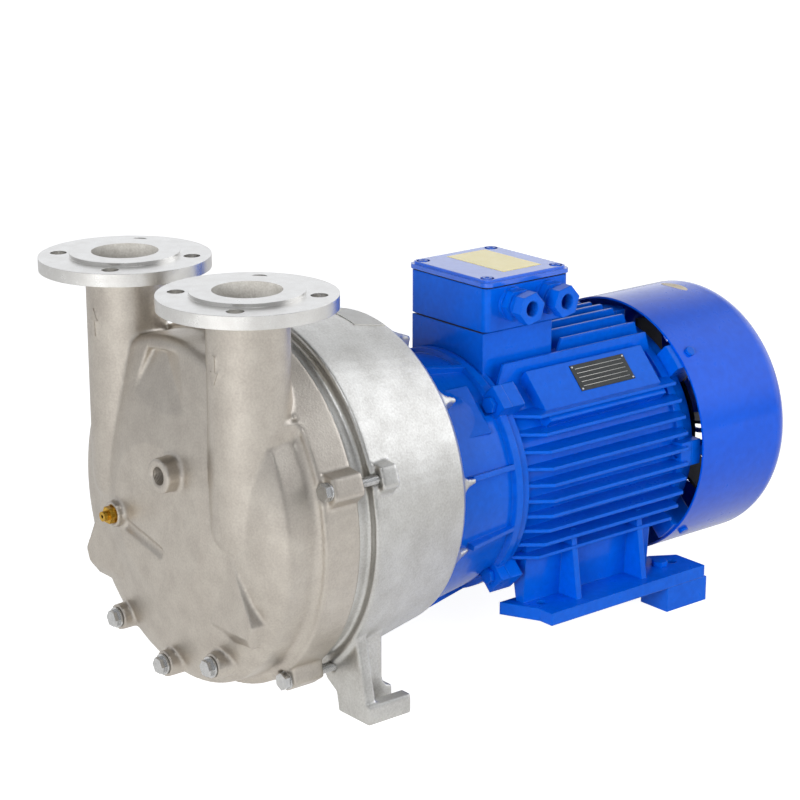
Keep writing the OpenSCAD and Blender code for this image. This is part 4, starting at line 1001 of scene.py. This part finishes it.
    def lay(self, piece: str, tree_name: str, values: dict[str, Any], where: Matrix,
            slot: Optional[str] = None) -> None:
        """Runs a tree and adds its mesh as a piece.

        Args:
            piece: Name of the piece.
            tree_name: Tree to run.
            values: Its inputs by name, Material among them.
            where: Place of the tree's origin.
            slot: Material slot, if the record has one for it.
        """
        tree, keys = self.trees[tree_name]
        work = helper(piece + "_work", bpy.data.meshes.new(piece))
        run = work.modifiers.new(tree_name, "NODES")
        run.node_group = tree
        for label, value in values.items():
            run[keys[label]] = value
        mesh = evaluated_mesh(work)
        mesh.transform(where)
        add_piece(piece, mesh, values["Material"], slot)


@dataclass(frozen=True)
class Thread:
    """Thread turns in a row, at one place or round a circle.

    Attributes:
        name: Name of the piece.
        slot: Material slot that it belongs to.
        start_mm: Place of the first turn: behind the port plane, across, and up.
        turns: Number of turns.
        pitch_mm: Distance between turns.
        radius_mm: Radius of a turn.
        crest_mm: Radius of a turn's own section.
        stations: Number of rows.
        circle_mm: Radius of the circle that the rows stand on.
        sideways: Whether the row runs towards -Y and not along the shaft.
    """

    name: str
    slot: str
    start_mm: Point
    turns: int
    pitch_mm: float
    radius_mm: float
    crest_mm: float
    stations: int = 1
    circle_mm: float = 0.0
    sideways: bool = False

    def where(self) -> Matrix:
        """Places the first turn.

        Returns:
            Its place and direction.
        """
        spot = Matrix.Translation(from_ports(self.start_mm))
        return spot @ Matrix.Rotation(-math.pi / 2, 4, "Z") if self.sideways else spot


@dataclass
class Trim:
    """Bare plates, labels and thread turns that the photograph shows.

    Attributes:
        wardrobe: The finishes.
        repeats: The trees of what repeats.
        plate_mm: Length and width of the name plate.
        plate_at_mm: Its middle along the shaft and down the slope of its pad.
        plate_thick_mm: Its thickness.
        rules: Number of lines between its blank fields.
        rule_pitch_mm: Distance between lines.
        rule_thick_mm: Thickness of a line.
        rule_margin_mm: Room at both ends of a line.
        rivet_margin_mm: Distance of the rivets from the edges.
        rivet_mm: Radius of a rivet's head.
        all_threads: Threads on the clamp bolts, in the liquid boss and in the glands.
    """

    wardrobe: Wardrobe
    repeats: Repeats = field(default_factory=Repeats)
    plate_mm: tuple[float, float] = (85.0, 33.5)
    plate_at_mm: tuple[float, float] = (507.5, -10.3)
    plate_thick_mm: float = 0.9
    rules: int = 5
    rule_pitch_mm: float = 5.6
    rule_thick_mm: float = 0.4
    rule_margin_mm: float = 6.0
    rivet_margin_mm: float = 2.5
    rivet_mm: float = 1.6
    all_threads: tuple[Thread, ...] = (
        Thread("clamp_bolt_threads", "bright_steel", (76, 0, CASING_HEIGHT_MM), turns=15,
               pitch_mm=1.5, radius_mm=5, crest_mm=0.45, stations=5, circle_mm=205),
        Thread("liquid_boss_threads", "cast_stainless", (-59.5, -32, 273), turns=11,
               pitch_mm=1.8, radius_mm=10.6, crest_mm=0.8),
        Thread("front_gland_threads", "motor_blue", (395, -90, 391), turns=8,
               pitch_mm=1.5, radius_mm=9.1, crest_mm=0.6, sideways=True),
        Thread("rear_gland_threads", "motor_blue", (448, -90, 391), turns=8,
               pitch_mm=1.5, radius_mm=9.1, crest_mm=0.6, sideways=True),
    )

    def build(self) -> None:
        """Builds all trim."""
        self.repeats.build()
        self.threads()
        self.name_plate()
        self.labels()

    def threads(self) -> None:
        """Adds the thread turns."""
        for thread in self.all_threads:
            finish = self.wardrobe.wears()[thread.slot]
            self.repeats.lay(thread.name, "thread_turns", {
                "Turns": thread.turns, "Pitch": thread.pitch_mm * MM,
                "Radius": thread.radius_mm * MM, "Crest": thread.crest_mm * MM,
                "Stations": thread.stations, "Circle": thread.circle_mm * MM,
                "Material": self.wardrobe.material(finish)}, thread.where(), thread.slot)

    def name_plate(self) -> None:
        """Adds the dark plate on the motor, with blank fields and four rivets."""
        wardrobe = self.wardrobe
        length, width = self.plate_mm
        thick = self.plate_thick_mm
        place = on_pad(*self.plate_at_mm)
        Sheet("name_plate", place, length, width, thick).build(wardrobe.material(wardrobe.etched))
        middle, right, down = place(0, 0, thick), place(1, 0, thick), place(0, 1, thick)
        along, across = (right - middle).normalized(), (down - middle).normalized()
        frame = Matrix((along, across, along.cross(across))).transposed().to_4x4()
        frame.translation = middle
        first_rule = -self.rule_pitch_mm * (self.rules - 1) / 2
        self.repeats.lay("name_plate_rules", "plate_rules", {
            "Rules": self.rules, "Length": (length - 2 * self.rule_margin_mm) * MM,
            "Pitch": self.rule_pitch_mm * MM, "Thick": self.rule_thick_mm * MM,
            "Material": wardrobe.material(wardrobe.foil)},
            frame @ Matrix.Translation((0, first_rule * MM, 0)))
        inset = 2 * self.rivet_margin_mm
        self.repeats.lay("name_plate_rivets", "plate_rivets", {
            "Length": (length - inset) * MM, "Width": (width - inset) * MM,
            "Head": self.rivet_mm * MM, "Material": wardrobe.material(wardrobe.bright)}, frame,
            "bright_steel")

    def labels(self) -> None:
        """Adds the blank plate on the casing and the blank labels on lid and cowl."""
        wardrobe = self.wardrobe
        on_casing = on_barrel(
            207, lambda x_mm: CONE_RADIUS_MM - CONE_TAPER * (x_mm - CONE_START_MM),
            CASING_HEIGHT_MM * MM)
        on_cowl = on_barrel(725, lambda x_mm: COWL_RADIUS_MM, SHAFT_HEIGHT)
        Sheet("casing_plate", on_casing, length_mm=42, width_mm=96, thick_mm=0.8).build(
            wardrobe.material(wardrobe.foil))
        Sheet("lid_label", on_lid(431, 4.5), length_mm=58, width_mm=98, thick_mm=0.3).build(
            wardrobe.material(wardrobe.yellow))
        Sheet("cowl_label", on_cowl, length_mm=14, width_mm=44, thick_mm=0.3,
              shape=Shape.OVAL).build(wardrobe.material(wardrobe.cream))


@dataclass(frozen=True)
class Glow:
    """A soft bright or dark zone of the sky, as reflectors and dark cards give in a studio.

    Attributes:
        towards: Direction of its middle.
        start: Cosine from the middle where it begins.
        full: Cosine from the middle where it is full.
        gain: Light that it adds, or takes where negative.
    """

    towards: Point
    start: float
    full: float
    gain: float


@dataclass(frozen=True)
class Lamp:
    """A soft lamp that points at the pump and lights paint without a mirror image.

    Attributes:
        name: Name of the lamp.
        place: Where it hangs.
        size: Width and height of its face.
        power: Its power in watts.
        aim: Point that it lights.
    """

    name: str
    place: Point
    size: tuple[float, float]
    power: float
    aim: Point = (0.0, 0.0, 0.2)

    def hang(self) -> None:
        """Hangs the lamp."""
        light = bpy.data.lights.new(self.name, "AREA")
        light.shape = "RECTANGLE"
        light.size, light.size_y = self.size
        light.energy = self.power
        lamp = bpy.data.objects.new(self.name, light)
        lamp.location = self.place
        lamp.visible_glossy = False
        ray = Vector(self.aim) - Vector(self.place)
        lamp.rotation_euler = ray.to_track_quat("-Z", "Y").to_euler()
        bpy.context.scene.collection.objects.link(lamp)


@dataclass
class Studio:
    """Floor, lamps, sky and the camera at the photograph's angle.

    Attributes:
        camera_at_mm: Where the camera stands: behind the port plane, across, and up.
        camera_to_mm: Point that it looks at, counted the same way.
        lens_mm: Its focal length.
        sensor_mm: Width of its sensor.
        floor_size: Side of the floor.
        floor_colour: Its colour.
        floor_roughness: Its roughness.
        floor_gloss: Strength of its mirror part.
        floor_glow: Light that makes it white to the camera and through glass.
        floor_in_metal: Light that it adds in the mirror image of metal.
        sky_colour: Tint of the sky.
        sky_level: Light of the sky away from its zones.
        sky_on_paint: Share of the sky's light that falls on dull surfaces.
        glows: Zones of the sky.
        lamps: The lamps.
    """

    camera_at_mm: Point = (-1314.41, -1963.33, 1035.30)
    camera_to_mm: Point = (287.87, 0.0, 282.23)
    lens_mm: float = 105.24
    sensor_mm: float = 36.0
    floor_size: float = 14.0
    floor_colour: str = "#bcbcbc"
    floor_roughness: float = 0.9
    floor_gloss: float = 0.1
    floor_glow: float = 0.93
    floor_in_metal: float = 0.45
    sky_colour: str = "#f4f6fa"
    sky_level: float = 0.5
    sky_on_paint: float = 0.3
    glows: tuple[Glow, ...] = (
        Glow((0.62, 0.74, 0.26), 0.3, 0.95, 0.65),
        Glow((0.85, -0.3, 0.43), 0.8, 0.99, 1.5),
        Glow((-0.98, -0.1, -0.15), 0.2, 0.95, 0.25),
        Glow((0.2, -0.1, 0.97), 0.4, 0.95, -0.55),
        Glow((-0.05, -0.45, 0.89), 0.94, 0.985, 3.0),
    )
    lamps: tuple[Lamp, ...] = (
        Lamp("key", (1.2, -2.7, 1.1), (2.4, 1.6), 44),
        Lamp("left", (-2.7, -1.2, 1.0), (2.0, 1.6), 100),
    )

    def build(self) -> None:
        """Builds the whole studio."""
        self.floor()
        self.sky()
        for lamp in self.lamps:
            lamp.hang()
        self.camera()

    def floor(self) -> None:
        """Lays a plain pale floor, which the camera sees as white."""
        mesh = bpy.data.meshes.new("studio_floor")
        half = self.floor_size / 2
        corners = [(-half, -half, 0), (half, -half, 0), (half, half, 0), (-half, half, 0)]
        mesh.from_pydata(corners, [], [(0, 1, 2, 3)])
        floor = bpy.data.objects.new("studio_floor", mesh)
        bpy.context.scene.collection.objects.link(floor)
        paint = bpy.data.materials.new("studio_floor_paint")
        paint.use_nodes = True
        tree = paint.node_tree
        shader = tree.nodes["Principled BSDF"]
        shader.inputs["Base Color"].default_value = linear(self.floor_colour)
        shader.inputs["Roughness"].default_value = self.floor_roughness
        shader.inputs["Specular IOR Level"].default_value = self.floor_gloss
        shader.inputs["Emission Color"].default_value = WHITE
        rays = add_node(tree, "ShaderNodeLightPath").outputs
        seen = maths(tree, "MAXIMUM", rays["Is Camera Ray"], rays["Is Transmission Ray"])
        bright = maths(tree, "MULTIPLY", seen, self.floor_glow)
        glow = maths(tree, "MULTIPLY_ADD", rays["Is Glossy Ray"], self.floor_in_metal, bright)
        tree.links.new(glow, shader.inputs["Emission Strength"])
        mesh.materials.append(paint)

    def sky(self) -> None:
        """Sets a soft sky with brighter and darker zones, which the camera sees as white."""
        world = bpy.data.worlds.new("studio_sky")
        bpy.context.scene.world = world
        world.use_nodes = True
        tree = world.node_tree
        tree.nodes.clear()
        rays = add_node(tree, "ShaderNodeLightPath").outputs
        ahead = add_node(tree, "ShaderNodeTexCoord").outputs["Generated"]
        level: Any = self.sky_level
        for glow in self.glows:
            near = add_node(tree, "ShaderNodeVectorMath", {
                "operation": "DOT_PRODUCT", 1: glow.towards}, in_0=ahead)
            gain = add_node(tree, "ShaderNodeMapRange", {
                "interpolation_type": "SMOOTHSTEP", "From Min": glow.start, "From Max": glow.full,
                "To Min": 0.0, "To Max": glow.gain}, Value=near.outputs["Value"])
            level = maths(tree, "ADD", gain.outputs["Result"], level)
        seen = add_node(tree, "ShaderNodeBackground", {"Color": WHITE, "Strength": 1.0})
        shade = add_node(tree, "ShaderNodeMapRange", {"To Min": 1.0, "To Max": self.sky_on_paint},
                         Value=rays["Is Diffuse Ray"])
        soft = add_node(tree, "ShaderNodeBackground", {"Color": linear(self.sky_colour)},
                        Strength=maths(tree, "MULTIPLY", level, shade.outputs["Result"]))
        direct = maths(tree, "MAXIMUM", rays["Is Camera Ray"], rays["Is Transmission Ray"])
        mix = add_node(tree, "ShaderNodeMixShader", in_0=direct, in_1=soft.outputs[0],
                       in_2=seen.outputs[0])
        add_node(tree, "ShaderNodeOutputWorld", in_0=mix.outputs[0])

    def camera(self) -> None:
        """Stands the camera where the photograph was taken from."""
        lens = bpy.data.cameras.new("photo_camera")
        lens.lens = self.lens_mm
        lens.sensor_width = self.sensor_mm
        lens.clip_end = CLIP_END
        camera = bpy.data.objects.new("photo_camera", lens)
        place, target = from_ports(self.camera_at_mm), from_ports(self.camera_to_mm)
        camera.location = place
        camera.rotation_euler = (target - place).to_track_quat("-Z", "Y").to_euler()
        bpy.context.scene.collection.objects.link(camera)
        bpy.context.scene.camera = camera


def main() -> None:
    """Dresses the pump and builds the studio."""
    logging.basicConfig(level=logging.INFO)
    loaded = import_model()
    bpy.context.scene.view_settings.view_transform = "Standard"
    wardrobe = Wardrobe()
    wardrobe.dress_nodes(loaded)
    cast = wardrobe.material(wardrobe.blasted)
    bore = wardrobe.material(wardrobe.bore)
    cover = CastSkin("front_cover", "cast_stainless", top=SKIN_TOP).build(loaded, cast)
    line_bores(cover, bore)
    CastSkin("pump_casing", "turned_stainless").build(loaded, wardrobe.material(wardrobe.satin))
    line_bores(PortFlanges().build(loaded, wardrobe.material(wardrobe.flange)), bore)
    FlowArrow(side=-1, height=401 * MM, turn_deg=-88).build(cast)
    FlowArrow(side=1, height=406 * MM, turn_deg=-86).build(cast)
    Trim(wardrobe).build()
    Studio().build()


if __name__ == "__main__":
    main()
